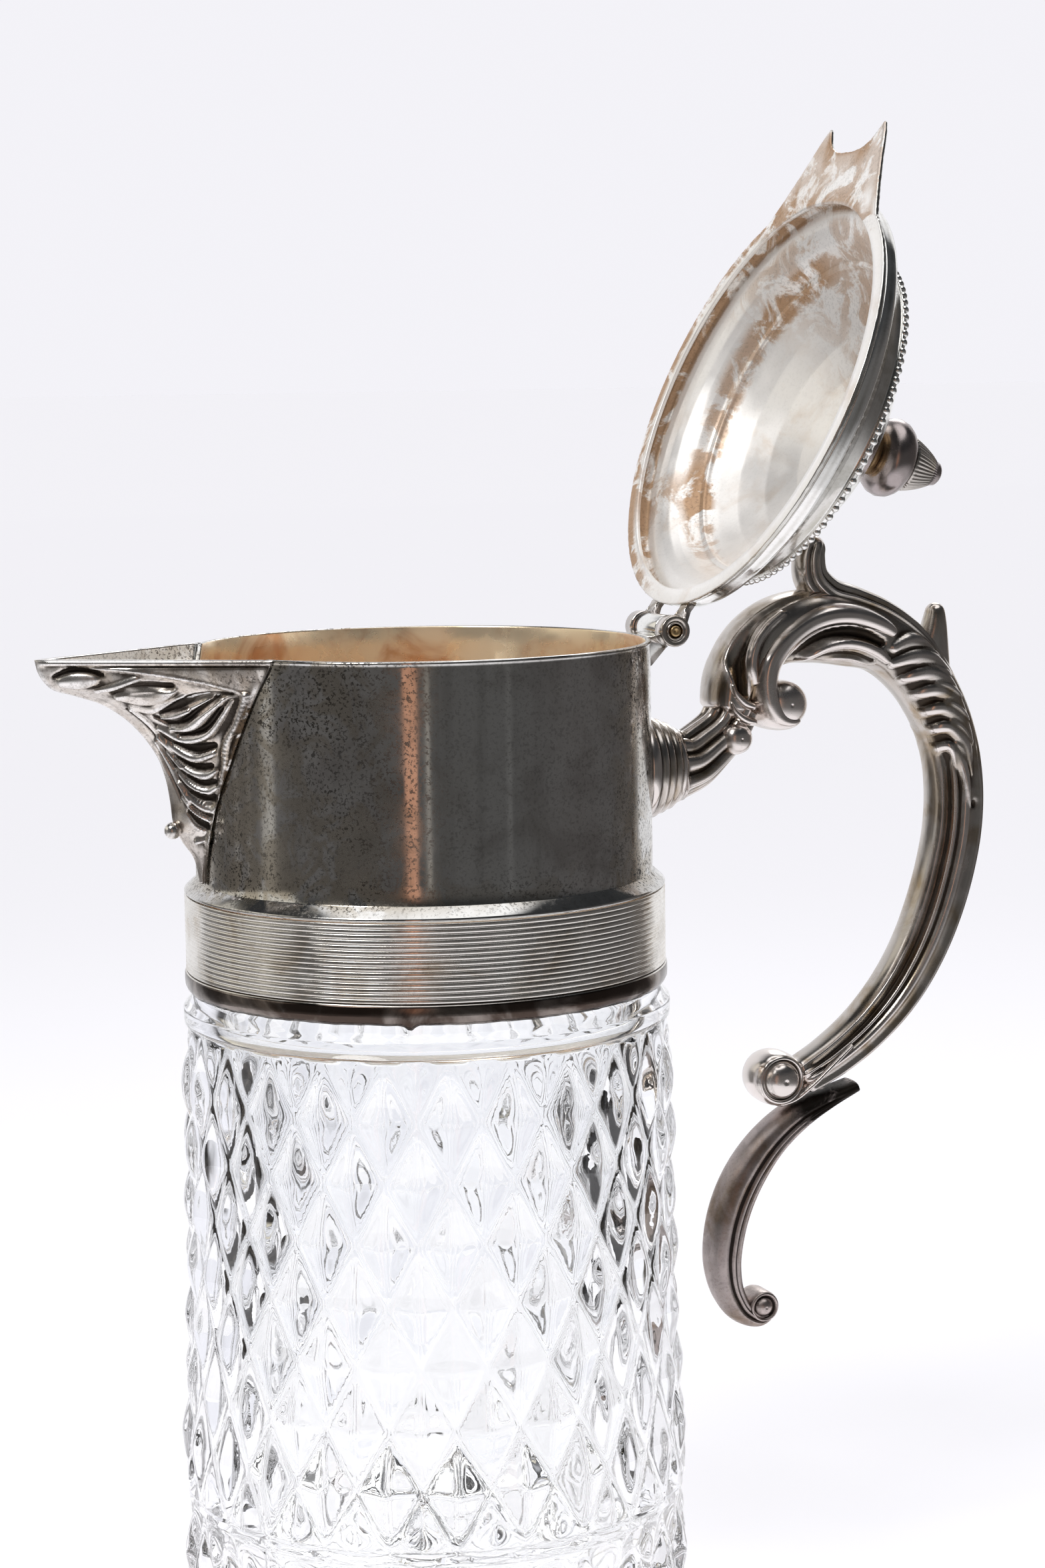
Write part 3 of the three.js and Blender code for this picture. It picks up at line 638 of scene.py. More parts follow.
# Ornament on each cheek, with the distance from the tip as x and the drop as z.
SPOUT_STROKES = strokes("""
    .35  8 1.3 .5  15.7 1.9 .5  23.4 3 .5  31.1 4.5 .55  38.2 6.4 .6;  .75  38.2 6.4 .8
    36.4 11.2 .9  34 15.6 .9  33.4 19.7 .8  32.6 23.2 .7  33.2 26.4 .8  32 29.3 .8
    30.5 32.5 .8  29.4 35.7 .7  30 40 .5;  .9  4.9 4.1 1.2  7.8 3.9 1.7  10.6 3.7 1.2;
    -.7  3.6 3.1 .5  6.5 1.9 .6  10.2 2 .6  12.2 2.9 .5;  .6  11 5.9 .6  14.5 5 .8
    18.6 3.5 .7;  -1.1  13.8 6.5 .5  18.6 5.3 1.2  24.6 5.1 .9;  .8  14.6 7.3 .7  19.6 7.8 1.1
    23.4 7 1.1  25.4 5.8 .5;  .6  16.9 9.2 .7  20.6 9.6 .9  23.4 8.5 .8  26.8 6.9 .5;
    -1.1  22.4 10.3 .7  26.4 8.4 1.2  30.8 6.9 .9  35.8 6.4 .4;  .8  22.4 10.8 .6
    24.9 10.5 .8  27.4 9.7 .5;  -.9  20.8 11 .4  25 12.3 .7  28.8 10 .7  33 7.3 .5;
    1.1  24 13 .7  27.7 12.4 1.2  30.8 9.8 1.2  34 7.4 .5;  -.9  25.6 14.3 .4  30 13 .7
    33.4 9.2 .6;  .9  21.5 13.1 .6  26.5 15.1 .9  30.6 14 .9  33.7 10.3 .7  35.6 7.6 .4;
    -1  24.2 15.8 .5  28 16.8 1  31.6 16.1 .7;  .9  21.4 14.7 .5  24.3 17 .8  28 18.5 1
    31.4 17.6 .8;  -.9  24.6 18.6 .4  28.2 20.3 .8  30.8 20 .6;  .8  22.8 17.6 .5
    25.8 20.5 .7  30.2 21.7 .9  31.8 20.8 .5;  -.9  26.4 22 .5  28.9 23.2 .8  31.4 23 .5;
    .8  24.2 20.8 .5  26.8 23.6 .7  30.5 24.7 .8  32 23.6 .5;  -.9  26.8 24.9 .5
    29.8 26 .9  32 26 .6;  .8  24.8 23.4 .5  27.4 26.8 .7  30.5 28.2 .8  32.6 26.8 .5;
    .7  25.2 26 .5  27.6 29 .6  30 30.2 .6;  -1  26.2 28.8 .6  28.4 31 1  30 32 .6;
    .5  27.4 34.6 .7  29.4 34 .6  30.2 32.6 .5;  .5  16.6 9.6 .5  20.4 13.2 .6  23 17 .6
    25.4 20.2 .5;  -.5  15.8 9.9 .4  19.4 13.4 .5  22 17.4 .5  24.4 21.2 .4;
    .5  20.6 15.8 .5  22.6 19.6 .6  24.4 23.4 .6  26.4 26.8 .5;  -.5  21 18 .4  22.8 22 .5
    24.6 26.4 .4""")
SPOUT_REACH = 73.5
VIEW_PLANE = 21.4 * RAD
SPOUT_ROWS, SPOUT_HALF_COLS = 190, 96


def from_spout_tip(x, y):
    """Distance from the tip along the plane that the ornament is drawn in."""
    return (x + SPOUT_REACH) * math.cos(VIEW_PLANE) + y * math.sin(VIEW_PLANE)


def spout_plan(keel, half_angle, v):
    """Level curve from the keel (v = 0) to the seam (1), rounded over at the keel."""
    rounded = 0.05
    g = (np.sqrt(v**2 + rounded**2) - rounded) / (math.sqrt(1 + rounded**2) - rounded)
    seam_x = -BARREL_R * math.cos(half_angle * RAD)
    seam_y = BARREL_R * math.sin(half_angle * RAD)
    return -keel + (seam_x + keel) * g, seam_y * v


def spout_part():
    v = np.linspace(0, 1, SPOUT_HALF_COLS)
    outer, inner = [], []
    for drop, keel, half_angle in spline(SPOUT_SECTIONS, SPOUT_ROWS):
        x, y = spout_plan(keel, half_angle, v)
        level = np.full_like(x, -drop)
        bulge = 0.9 * np.sin(np.pi * v) * min(1, max(drop, 0) / 12)
        outer.append(np.stack([x - 0.6 * bulge, y + 0.8 * bulge, level], 1))
        x, y = spout_plan(max(keel - 2.4, COLLAR_CLEAR_R), half_angle, v)
        inner.append(np.stack([x, np.maximum(y - 1.1, 0) * (v > 0), level], 1))
    outer, inner = np.array(outer), np.array(inner)
    normal = np.cross(np.gradient(outer, axis=1), np.gradient(outer, axis=0))
    normal /= np.maximum(np.linalg.norm(normal, axis=2, keepdims=True), 1e-9)
    x, y, z = outer[..., 0], outer[..., 1], outer[..., 2]
    from_tip = from_spout_tip(x, y)
    height = stroke_field(from_tip, -z, SPOUT_STROKES)
    edge = numbers("0 .8  7.4 1  15.7 1.6  23.4 2.6  31.1 4  38.2 5.8")
    panel_edge = np.interp(from_tip, *edge.T)
    sunk = ease(0, 0.8, -z - panel_edge) * ease(0.0, 0.08, v) * (1 - ease(0.86, 0.95, v))
    height = height * ease(0, 0.07, v) * (1 - ease(0.93, 0.99, v)) - 0.45 * sunk
    height *= ease(0.6, 1.4, -z)
    drop = np.clip(-z, 0, 2)
    bead = np.sqrt(np.clip(1 - ((drop - 0.5) / 0.52) ** 2, 0, 1))
    height += (0.42 * bead - 0.3 * np.exp(-(((drop - 1.2) / 0.2) ** 2))) * ease(0.02, 0.1, v)
    height += 0.4 * np.exp(-(((v - 0.965) / 0.016) ** 2)) * ease(3, 7, -z)
    outer = outer + normal * height[..., None]
    for surface in (outer, inner):
        radius = np.hypot(surface[..., 0], surface[..., 1])
        push = np.maximum(COLLAR_CLEAR_R / np.maximum(radius, 1e-6), 1)
        surface[..., :2] *= push[..., None]
        surface[:, 0, 1] = 0
    flip = np.array([1, -1, 1])
    ring = np.concatenate(
        [(outer * flip)[:, :0:-1], outer, inner[:, ::-1], (inner * flip)[:, 1:]], axis=1)
    half = ring.shape[1] // 2
    lids = [grid(np.stack([row[:half], row[::-1][:half]])) for row in (ring[0], ring[-1])]
    arc = np.linspace(0.3, 2.84, 12)
    bead = np.vstack([(0, -1.6), 1.6 * np.stack([np.sin(arc), -np.cos(arc)], 1), (0, 1.6)])
    return join(grid(ring, wrap_cols=True), *lids, moved(lathe(bead, 24), (-48.8, 0, -32.4)))


def spout_inside(centres, normals):
    """The channel is plain plate; the cheeks carry the cast ornament."""
    outward = centres[:, 1] * normals[:, 1]
    return (outward < 0) & (normals[:, 0] > -0.9) & (centres[:, 2] > RIM - 42)


def spout_stain(vertices):
    """Dark strip beside the seam, and specks over the plain cheek above the leaves."""
    x, y, z = vertices.T
    drop = RIM - z
    from_tip = from_spout_tip(x, np.abs(y))
    seam = np.interp(drop, [0, 7.9, 13.9, 23.2, 30.6, 39.8], [43.8, 40.9, 38.2, 35.4, 33.5, 31.4])
    gap = seam - from_tip
    strip = ease(0.6, 1.1, gap) * (1 - ease(2.4, 3.4, gap)) * ease(5, 9, drop)
    return 0.25 + 0.75 * strip + 0.4 * ease(20, 36, from_tip) * (1 - ease(4, 6, drop))


fixed_piece("spout_cast", spout_part(), "spout", "silver_cast", [SPOUT_METAL, PLATE],
            pick=spout_inside, passes=50, stain=spout_stain)


# ---- handle ----


def sweep(stations, rows, cols, square=0.9, caps=(1.0, 1.0), offset=None):
    """
    Bar along a curve in the XZ plane. Each station is x, z, half depth and half width. Angle
    0 of the section is on the curve's left. Caps are the lengths over which the ends round
    off. offset(run, angle, x, z, y) raises the surface.
    """
    path = spline(numbers(stations, 4), rows, ends=True)
    path_x, path_z, depth, width = np.hsplit(path, 4)
    tangent = np.gradient(path[:, :2], axis=0)
    tangent /= np.linalg.norm(tangent, axis=1, keepdims=True)
    left_x, left_z = -tangent[:, 1:], tangent[:, :1]
    run = run_along(path[:, :2])[:, None]
    taper = np.ones((rows, 1))
    for cap, distance in zip(caps, (run, run[-1] - run)):
        if cap:
            taper *= np.sqrt(np.clip(1 - (1 - np.clip(distance / cap, 0, 1)) ** 2, 0, 1))
    angle = circle(cols)[None, :]
    c, s = (np.sign(w) * np.abs(w) ** square for w in (np.cos(angle), np.sin(angle)))
    depth, width = depth * taper, width * taper
    u, v = depth * c, width * s
    if offset:
        nu, nv = c / np.maximum(depth, 0.3), s / np.maximum(width, 0.3)
        length = np.maximum(np.hypot(nu, nv), 1e-9)
        height = offset(run, angle, path_x + left_x * u, path_z + left_z * u, v) * taper
        u, v = u + height * nu / length, v + height * nv / length
    return tube(np.stack([path_x + left_x * u, v, path_z + left_z * u], -1))


def groove(angle, at, half, depth):
    """Groove of half width half degrees at an angle on both sides of a bar's section."""
    folded = np.abs((angle / RAD + 180) % 360 - 180)
    return -depth * np.clip(1 - ((folded - at) / half) ** 2, 0, 1)


def knob(profile, origin):
    """Turned about Y from a table of radius and y, mirrored to both ends."""
    half = numbers(profile)
    return laid_on_y(lathe(np.vstack([half[::-1] * (1, -1), half]), 56), origin)


def cuff_part():
    angle = circle(120)
    rings = [(r, np.sqrt(COLLAR_CLEAR_R**2 - (r * np.cos(angle)) ** 2)) for r in (4, 8, 10.3)]
    rings += [*numbers("""
        10.3 44.6  9.5 45  9.7 45.5  9.9 46.1  9.6 46.6  8.9 46.8  9.2 47.3  9.2 47.9  8.8 48.4
        8.2 48.5  8.5 49  8.5 49.6  8.1 50.1  7.5 50.2  7.6 50.8  7.3 51.6""")]
    points = [np.stack(np.broadcast_arrays(x, r * np.cos(angle), r * np.sin(angle)), -1)
              for r, x in rings]
    return moved(tube(np.array(points)), (0, 0, -26))


def neck_part():
    def flutes(run, angle, x, z, y):
        ribs = np.abs(np.cos(angle * 4.5 + 0.35 + run * 0.05))
        return -1.5 * (1 - ribs**0.8) * ease(0, 1.2, run)

    return sweep("""
        51 -25.9 7.2 7.4  55 -25 6.2 6.6  58.5 -22.6 5.6 6.2  62 -19.5 5.2 6  64.5 -15 5.2 6
    """, 50, 130, 0.95, (0, 0), flutes)


# Relief on the scroll's sides.
SCROLL_STROKES = strokes("""
    -2.3  64 -12.8 1  62.9 -9.2 1.5  62.3 -5.6 1.8  63 -2.1 2  65 1.3 2  68.4 4 1.9  73 6 1.7
    78 7 1.2;  .8  66 -10 .8  65.4 -6.6 1  66.2 -3.2 1  68.6 .2 .9  72 2.8 .7;
    -1.3  73 -11.4 1.2  73.6 -8.2 1.4  76 -4.9 1.4  79.8 -2.4 1.4  84.1 -1.4 1.4  89 -1.8 1.4
    93.3 -3.6 1.1;  1.1  75.2 -8.9 1  77.2 -6.2 1.3  80 -4.2 1.4  84.1 -3.2 1.4  88.5 -3.7 1.3
    92.5 -5.4 1.2  94.9 -7.2 .8;  -1  76.6 -9.4 .7  79 -7.2 .8  82.9 -5.9 .8  86.9 -5.9 .8
    91.7 -7.5 .7;  1  96.4 -4.8 1.2  100.6 -3.4 1.7  104.8 -4.2 1.5  107.6 -6.2 .9;
    1.1  96.4 -8 1.2  100.6 -6.8 1.8  105.4 -7.3 1.7  109.5 -10 1;  1.1  98.8 -11.4 1.2
    103.6 -10.1 1.8  108 -11.5 1.7  111.7 -15 .7;  1.1  101.2 -14.8 1.2  106 -13.6 1.8
    110.3 -15.7 1.7  113.5 -19.6 .6;  1.1  103 -18.5 1.2  107.4 -17.3 1.8  111.7 -19.9 1.7
    114.7 -24.6 .5;  1.1  104.6 -22 1.2  108.7 -21.1 1.7  112.4 -24.5 1.7  114.9 -31 .4;
    .9  106 -25.6 1  109.4 -25.2 1.5  112 -29.2 1.5  114 -37.5 .3""")


def scroll_relief(run, angle, x, z, y):
    side = ease(0.35, 0.85, np.abs(np.sin(angle)))
    field = stroke_field(x, z, SCROLL_STROKES) * side
    limb = ease(-22, -34, z) * ease(75, 81, x)
    sunk = ease(94, 99, x) * ease(-36, -27, z) * (z > -40)
    ribs = groove(angle, 124, 14, 1.3) + groove(angle, 98, 7, 0.7) + groove(angle, 38, 8, 0.6)
    ribs = ribs + groove(angle, 68, 20, 0.9)
    nick = -0.6 * np.exp(-((x - 115.6) ** 2 + (z + 37.1) ** 2) / 0.7) * (y < 0)
    return field + ribs * limb - 0.5 * sunk * side + nick


def scroll_part():
    body = sweep("""
        61.8 -16.9 3.6 6  63.8 -9.8 4.9 6.6  67.8 -4.2 5.8 7  73.4 -1 6.6 7.2  80 -.2 7.2 7.2
        88 -1.4 7 7  96.4 -4.2 6.2 6.6  104 -10.4 6 6.2  109 -18 5.8 5.8  111.8 -26 5.7 5.6
        112.8 -34 5.7 5.5  112.4 -42.4 5.7 5.5  110.8 -50.2 5.7 5.4  108.3 -58 5.6 5.4
        104.8 -65.8 5.4 5.3  99.6 -73.8 5.1 5.2  92.6 -81 4.6 5.1  84.6 -86.6 4.1 5  77 -90.4 3.6 5
    """, 384, 176, 0.8, (2, 2), scroll_relief)
    eye = knob("""
        4.6 0  4.6 4  4.5 5.4  4.2 6.6  3.6 7.5  2.6 8.2  1.4 8.6  .6 8.7  .02 8.72
    """, (72.9, 0, -14.8))
    rib = sweep("""
        76.1 -17.2 1.2 7.2  74 -18.1 1.9 8  71.3 -17.4 2.6 8.5  69.3 -14.7 3.1 8.7
        68.6 -10.8 3.2 8.6  69.3 -7 3.25 8.5  71.4 -3.8 3.3 8.5  74.5 -1 3.3 8.5  78.2 1 3.25 8.4
        82.4 2 3.2 8.3  86.9 1.9 3.05 8.1  91.6 .6 2.8 7.8  95.6 -1.4 2.2 7.2  97.6 -3 1.4 6.6
    """, 220, 72, 0.85, (1.3, 1.8))
    lower = knob("""
        5.5 0  5.45 1.4  5.3 2.6  5 3.7  4.6 4.3  4.25 4.4  4 3.8  3.85 3.6  3.7 4.2  3.3 5
        2.6 5.7  1.7 6.1  .8 6.3  .02 6.35
    """, (72.4, 0, -89.4))
    lip = sweep("""
        88 -83 .7 5.6  82.6 -87.6 .95 5.6  78.4 -91.2 1 5.2  75.2 -93.6 .9 4.4
        71.8 -94.6 .7 3.8
    """, 60, 40)
    petals = [sweep(stations, 40, 48, caps=(1.5, 1)) for stations in (
        "61 -9.2 0.5 6.4  61.8 -11.8 1.2 7.1  63.7 -14 1.5 7.4  66.6 -15.2 1 7.3",
        "60.8 -12.6 0.6 6.4  61.6 -15.2 1.2 7  63.8 -17.2 1.5 7.3  67 -18.1 1 7.1",
    )]
    return join(body, eye, rib, lower, lip, *petals)


def lobe_part():
    return knob("3.3 0  3.3 3  3.15 4.8  2.8 6  2.1 6.9  1.2 7.3  .5 7.42  .02 7.45",
                (62.8, 0, -21))


def leaf_part():
    def veins(run, angle, x, z, y):
        lines = groove(angle, 62, 13, 0.7) + groove(angle, 112, 13, 0.7)
        return ease(0.5, 3, run) * (1 - ease(30, 42, run)) * (lines + groove(angle, 88, 7, 0.35))

    strap = sweep("""
        82.4 17.4 2.2 3  80.9 13.6 2.9 3.6  81.2 9.4 3.3 3.9  84 6.2 3.5 4.3  89.6 4.4 3.1 4.6
        96 1.9 2.8 4.6  102.6 -2.4 2.5 4.3  108 -8.4 2.2 3.8  112.4 -16 1.9 3.2
        115.2 -23.6 1.6 2.5  116.6 -30 1 1.6
    """, 190, 84, 0.85, (2.4, 2.0), veins)
    spur = sweep("""
        106.4 -12 5.2 3.3  107.1 -8.8 4.6 3.3  107.7 -5.8 3.7 3.2  108.2 -3 2.9 3
        108.5 -.4 2.3 2.7  108.6 1.4 1.9 2.3  108.4 3.3 1.4 1.6
    """, 50, 48, caps=(1.0, 1.3))
    return join(strap, spur)


def tail_part():
    def veins(run, angle, x, z, y):
        lines = groove(angle, 66, 8, 0.5) + groove(angle, 88, 8, 0.5) + groove(angle, 44, 7, 0.4)
        return lines * ease(3, 8, run)

    bar = sweep("""
        90.2 -92.4 1.2 3.5  84 -94.7 1.9 3.8  77.6 -97.4 2.9 4  71.6 -101.8 3.4 4.2
        66.8 -107.4 3.8 4.3  63.4 -113.6 3.9 4.3  61.5 -120 3.8 4.2  61 -126.4 3.5 4
        62.4 -132.4 2.9 3.8  65.2 -136.4 2.3 3.6  68.2 -137.9 1.5 3.4  70.6 -137.2 .9 3.3
    """, 190, 84, 0.8, (0.5, 0.8), veins)
    curl = knob("""
        3.15 0  3.15 2.2  3 3.1  2.7 3.5  2.4 3.3  2.15 2.7  1.9 2.8  1.5 3.5  .9 3.95  .4 4.1
        .02 4.12
    """, (68.8, 0, -135.1))
    return join(bar, curl)


def tail_stain(vertices):
    """Black where the tail was brazed under the scroll."""
    x, y, z = vertices.T
    return 0.15 + 1.1 * ease(RIM - 103, RIM - 96, z) * ease(72, 80, x)


for name, part, node, passes in (
    ("handle_cuff_ribbed", cuff_part(), "handle_cuff", 4),
    ("handle_neck_fluted", join(neck_part(), lobe_part()), "handle_neck", 30),
    ("handle_scroll_cast", scroll_part(), "handle_scroll", 50),
    ("handle_leaf_cast", leaf_part(), "handle_leaf", 20),
):
    fixed_piece(name, part, node, "silver_cast", [CAST], passes=passes)
fixed_piece("handle_tail_cast", tail_part(), "handle_tail", "silver_cast", [TAIL_METAL],
            passes=16, stain=tail_stain)


# ---- hinge ----

HINGE_PLACE = (PIN[0], 0, PIN[2] - RIM)


def bracket_part():
    """Middle knuckle with chamfered ends and a hole for the pin, on its gusset."""
    r, hole, end = KNUCKLE_R, PIN_HOLE_R, KNUCKLE_HALF
    half = [(r, end - 0.3), (r - 0.08, end - 0.1), (r - 0.3, end), (hole + 0.2, end),
            (hole, end - 0.2)]
    ring = lathe([(r, -y) for r, y in reversed(half)] + half, 56)
    gusset = numbers("43.4 -7.4  45.2 -6  47.6 -3.4  49.4 -1.9  47.6 -1.2  46.2 -.3  43.4 -.6")
    return join(laid_on_y(ring, HINGE_PLACE), soft_box(gusset, 0.3 - end, end - 0.3, 0.25))


def pin_part():
    end = HINGE_HALF + 0.1
    half = [(0.02, end - 0.12), (0.35, end - 0.1), (0.5, end + 0.02), (0.85, end),
            (PIN_R, end - 0.25), (PIN_R, 0)]
    both = half + [(r, -y) for r, y in reversed(half[:-1])]
    return laid_on_y(lathe(both, 40), HINGE_PLACE)


def ear_part(outer, inner):
    """Outer knuckle with a sunk ring round the pin, on an arm that reaches the lid's wall."""
    profile = [(PIN_HOLE_R, inner), (EAR_R - 0.3, inner), (EAR_R, inner - 0.3)]
    profile += [*(numbers("""
        3 .3  2.92 .1  2.75 .02  2 .04  1.95 .3  1.82 .3  1.75 .05  1.6 -.02
        1.45 .02  1.4 .2""") + (0, outer))]
    ring = laid_on_y(lathe(profile, 56), (0, 0, 0))
    outline = numbers("""
        -6.3 .7  -5.4 .15  -3.4 .1  -2.4 -.5  -2 -1.2  -1.6 -.8  -1.6 1.6  -2.2 1.9
        -3 1.45  -4.6 1.3  -5.6 1.6  -6.3 2.2""")
    low, high = sorted((outer, inner))
    return to_lid(join(ring, soft_box(outline, low + 0.3, high - 0.3, 0.2)))


fixed_piece("hinge_bracket_knuckle", bracket_part(), "hinge_bracket", "silver_cast", [LID_OUT],
            passes=2)
fixed_piece("hinge_pin_brass", pin_part(), "hinge_pin", "brass", [BRASS], passes=2)
for side, sign in (("near", -1), ("far", 1)):
    ear = ear_part(sign * HINGE_HALF, sign * (KNUCKLE_HALF + HINGE_GAP))
    lid_piece(f"lid_ear_{side}_ring", ear, f"lid_ear_{side}", "silver_cast", [CAST], passes=2)


# ---- lid ----

FLANGE_R = 43.5
FLANGE_T = 0.9
FLANGE_Z = -0.25
FLANGE_INNER_R = 40.2
LID_BASE = FLANGE_Z + FLANGE_T + 0.3
BEADS = 104
BEAD_R = 0.86
BEAD_RING_R = 33.9
BEAD_RING_Z = FLANGE_Z + FLANGE_T + 11.1
FINIAL_BASE = FLANGE_Z + FLANGE_T + 23.6 + 0.6
FINIAL_LEAN = 6 * RAD

# Half of the beak's outline: distance out from the lid's axis, and y. Its 5th point is a tip.
BEAK = numbers("""
    36.81 23.18  42.4 19.6  49.4 15.6  55.2 12.5  56.7 11.4  55.6 10.6  53.2 8.6  51.7 6  51.1 3
    51 0""")

# The lid's wall outside and inside: radius, and height over the flange.
LID_OUTSIDE = numbers("""
    42.9 0  42.95 .3  42.9 1.2  42.85 2.2  42.6 2.75  42.1 3.05  41.2 3.15  40 3.5  38.6 4.1
    37.2 4.9  36.1 5.9  35.2 7.1  34.6 8.4  34.3 9.4  34.2 10  33.6 10.3  33.2 10.4  32.6 10.9
    30.8 12  27.2 14.7  21.8 18.1  15 20.9  8 22.8  3 23.5  .02 23.6""")
LID_INSIDE = numbers("""
    .02 22.7  3 22.6  8 21.9  14.6 20.1  21.2 17.3  26.4 14  29.8 11.4  31 10.4  31.5 9.9
    31.7 9.2  32.6 8.8  33.2 7.9  34 6.6  35 5.3  36.3 4.1  37.8 3.2  39.4 2.6  40.6 2.35  41.3 2.2
    41.65 1.8  41.75 1  41.8 .02""")


def flange_radius(angle):
    """Radius of the flange's edge by angle from -X."""
    outline = np.vstack([spline(BEAK[:5], 60), spline(BEAK[4:], 60)[1:]])[::-1]
    bearing = np.arctan2(outline[:, 1], outline[:, 0])
    radius = np.hypot(outline[:, 0], outline[:, 1])
    return np.interp(np.abs(angle), bearing, radius, right=FLANGE_R)


def flange_part():
    turn = 36 * RAD
    half = np.concatenate([np.linspace(0, turn, 150), np.linspace(turn, np.pi, 130)[1:]])
    angle = np.concatenate([-half[::-1][1:], half])[:-1]
    edge = flange_radius(angle)
    chips = 0.05 * np.sin(angle * 97) * np.sin(angle * 31 + 1) + 0.03 * np.sin(angle * 211)
    beak = ease(FLANGE_R, 52, edge)
    rings = []
    for share, z in numbers("""
            0 .15  0 .75  .05 .9  .5 .9  .9 .9  .985 .84  1 .6  1 .3  .985 .06
            .9 0  .5 0  .05 0"""):
        r = FLANGE_INNER_R + (edge + chips * (share > 0.98) - FLANGE_INNER_R) * share
        sag = -0.35 * beak * np.sin(np.pi * share) * (1 - (np.sin(angle) * r / 14) ** 2)
        rings.append(np.stack([-r * np.cos(angle) - PIN[0], r * np.sin(angle),
                               FLANGE_Z + z - np.minimum(sag, 0)], -1))
    return to_lid(grid(np.array(rings), wrap_rows=True, wrap_cols=True))


def shell_part():
    dense = []
    for line in (LID_OUTSIDE, LID_INSIDE):
        run = run_along(line)
        at = np.unique(np.concatenate([run, np.linspace(0, run[-1], 70)]))
        dense += zip(np.interp(at, run, line[:, 0]), np.interp(at, run, line[:, 1]))
    return round_lid_axis(lathe(dense, 260), LID_BASE)


def inside_lid(centres, normals):
    """Inner faces: those that look back at the lid's own rim."""
    down = spin_y(np.array([[0.0, 0, -1.0]]), OPEN)[0]
    offset = centres - spin_y(np.array([[-PIN[0], 0, LID_BASE]]), OPEN)[0] - PIN
    radial = offset - np.outer(offset @ down, down)
    outward = (radial * normals).sum(1) / np.maximum(np.linalg.norm(radial, axis=1), 1e-6)
    return (normals @ down > 0.35) | (outward < -0.3)


def lid_stain(vertices):
    """Brown patches on the far rim, round the beak's joint and notch, and in the dome."""
    x, y, z = spin_y(vertices - PIN, -OPEN).T
    out = -(x + PIN[0])
    radius = np.hypot(out, y)
    bearing = np.abs(np.degrees(np.arctan2(y, out)))
    far = ease(2, 22, y)
    rim = ease(40.4, 41.6, radius) * (1 - ease(45, 46, radius)) * far
    step = 0.8 * ease(30, 31, radius) * (1 - ease(33.5, 35, radius)) * far
    joint = 0.9 * ease(39.6, 40.6, radius) * (1 - ease(42.2, 43.6, radius))
    joint = joint * (1 - ease(30, 40, bearing))
    notch = 0.8 * ease(49.6, 52, radius) * (1 - ease(8, 12, np.abs(y)))
    dome = 0.8 * np.exp(-((out - 14) ** 2 + (y + 4) ** 2) / 130) * (radius < 30)
    low_patch = 0.8 * np.exp(-((out + 20) ** 2 + (y - 32) ** 2) / 40)
    beak = 0.55 * ease(44, 46, radius)
    crown = 0.6 * ease(14, 30, out) * (1 - ease(38, 40, radius))
    return rim + joint + notch + beak + step + dome + low_patch + crown


def bead_part():
    wire = numbers("-.5 -.6  .45 -.9  .35 .3  -.5 .35") + (BEAD_RING_R, BEAD_RING_Z)
    lat, lon = np.linspace(0, np.pi, 8)[:, None], circle(12)
    ball = [np.sin(lat) * np.cos(lon), np.sin(lat) * np.sin(lon), np.cos(lat) + 0 * lon]
    ball = grid(np.stack(ball, -1) * BEAD_R, wrap_cols=True)
    beads = [moved(ball, (BEAD_RING_R * math.cos(a), BEAD_RING_R * math.sin(a), BEAD_RING_Z))
             for a in circle(BEADS)]
    return round_lid_axis(join(lathe(wire, 208), *beads))


def to_finial(part):
    vertices, faces = part
    return round_lid_axis((spin_y(vertices, -FINIAL_LEAN), faces), FINIAL_BASE)


def stud_part():
    return lathe(numbers("""
        .02 .3  5.5 .35  5.9 .7  5.9 1.4  5.5 1.8  4.8 2.2  4.5 2.8  4.5 3.6  .02 3.6
    """), 72)


def knop_part():
    bun = numbers("""
        .02 3.9  4.4 3.9  5.6 4.15  6.8 4.9  7.6 6  7.9 7.4  7.6 8.8  6.9 9.9  6 10.6
        5.5 10.8  5.35 11.1""")
    cone = spline(numbers("5.6 11.4  5 13.2  4.2 15  3.3 16.6  2.6 17.6"), 40)
    tip = numbers("2.5 17.9  2.3 18.5  1.7 19  .9 19.3  .02 19.35")

    def ribs(angle, r, z):
        cut = ease(11.2, 11.8, z) * (1 - ease(16.8, 17.6, z))
        return r - 0.28 * cut * (1 - np.abs(np.cos(angle * 20)) ** 0.8), z

    return lathe([*bun, *cone, *tip], 240, ribs)


def on_cone(centres, normals):
    """Rubbed bright ribs between the dark bun and the dark tip."""
    shut = spin_y(centres - PIN, -OPEN) - np.array([-PIN[0], 0, FINIAL_BASE])
    height = spin_y(shut, FINIAL_LEAN)[:, 2]
    return (height > 11.2) & (height < 16.6)


lid_piece("lid_flange_beak", flange_part(), "lid_flange", "silver_plate", [LID_OUT, LID_IN],
          pick=inside_lid, passes=2, stain=lid_stain)
lid_piece("lid_dome_stepped", shell_part(), "lid_shell", "silver_plate", [LID_OUT, LID_IN],
          pick=inside_lid, passes=14, stain=lid_stain)
lid_piece("lid_beaded_wire", bead_part(), "lid_bead_ring", "silver_plate", [LID_OUT], passes=4)
lid_piece("finial_stud_brass", to_finial(stud_part()), "finial_stud", "brass", [BRASS], passes=2)
lid_piece("finial_knop_ribbed", to_finial(knop_part()), "finial_knop", "silver_cast",
          [KNOP_METAL, CAST], pick=on_cone, passes=4)


# ---- studio: in metres ----


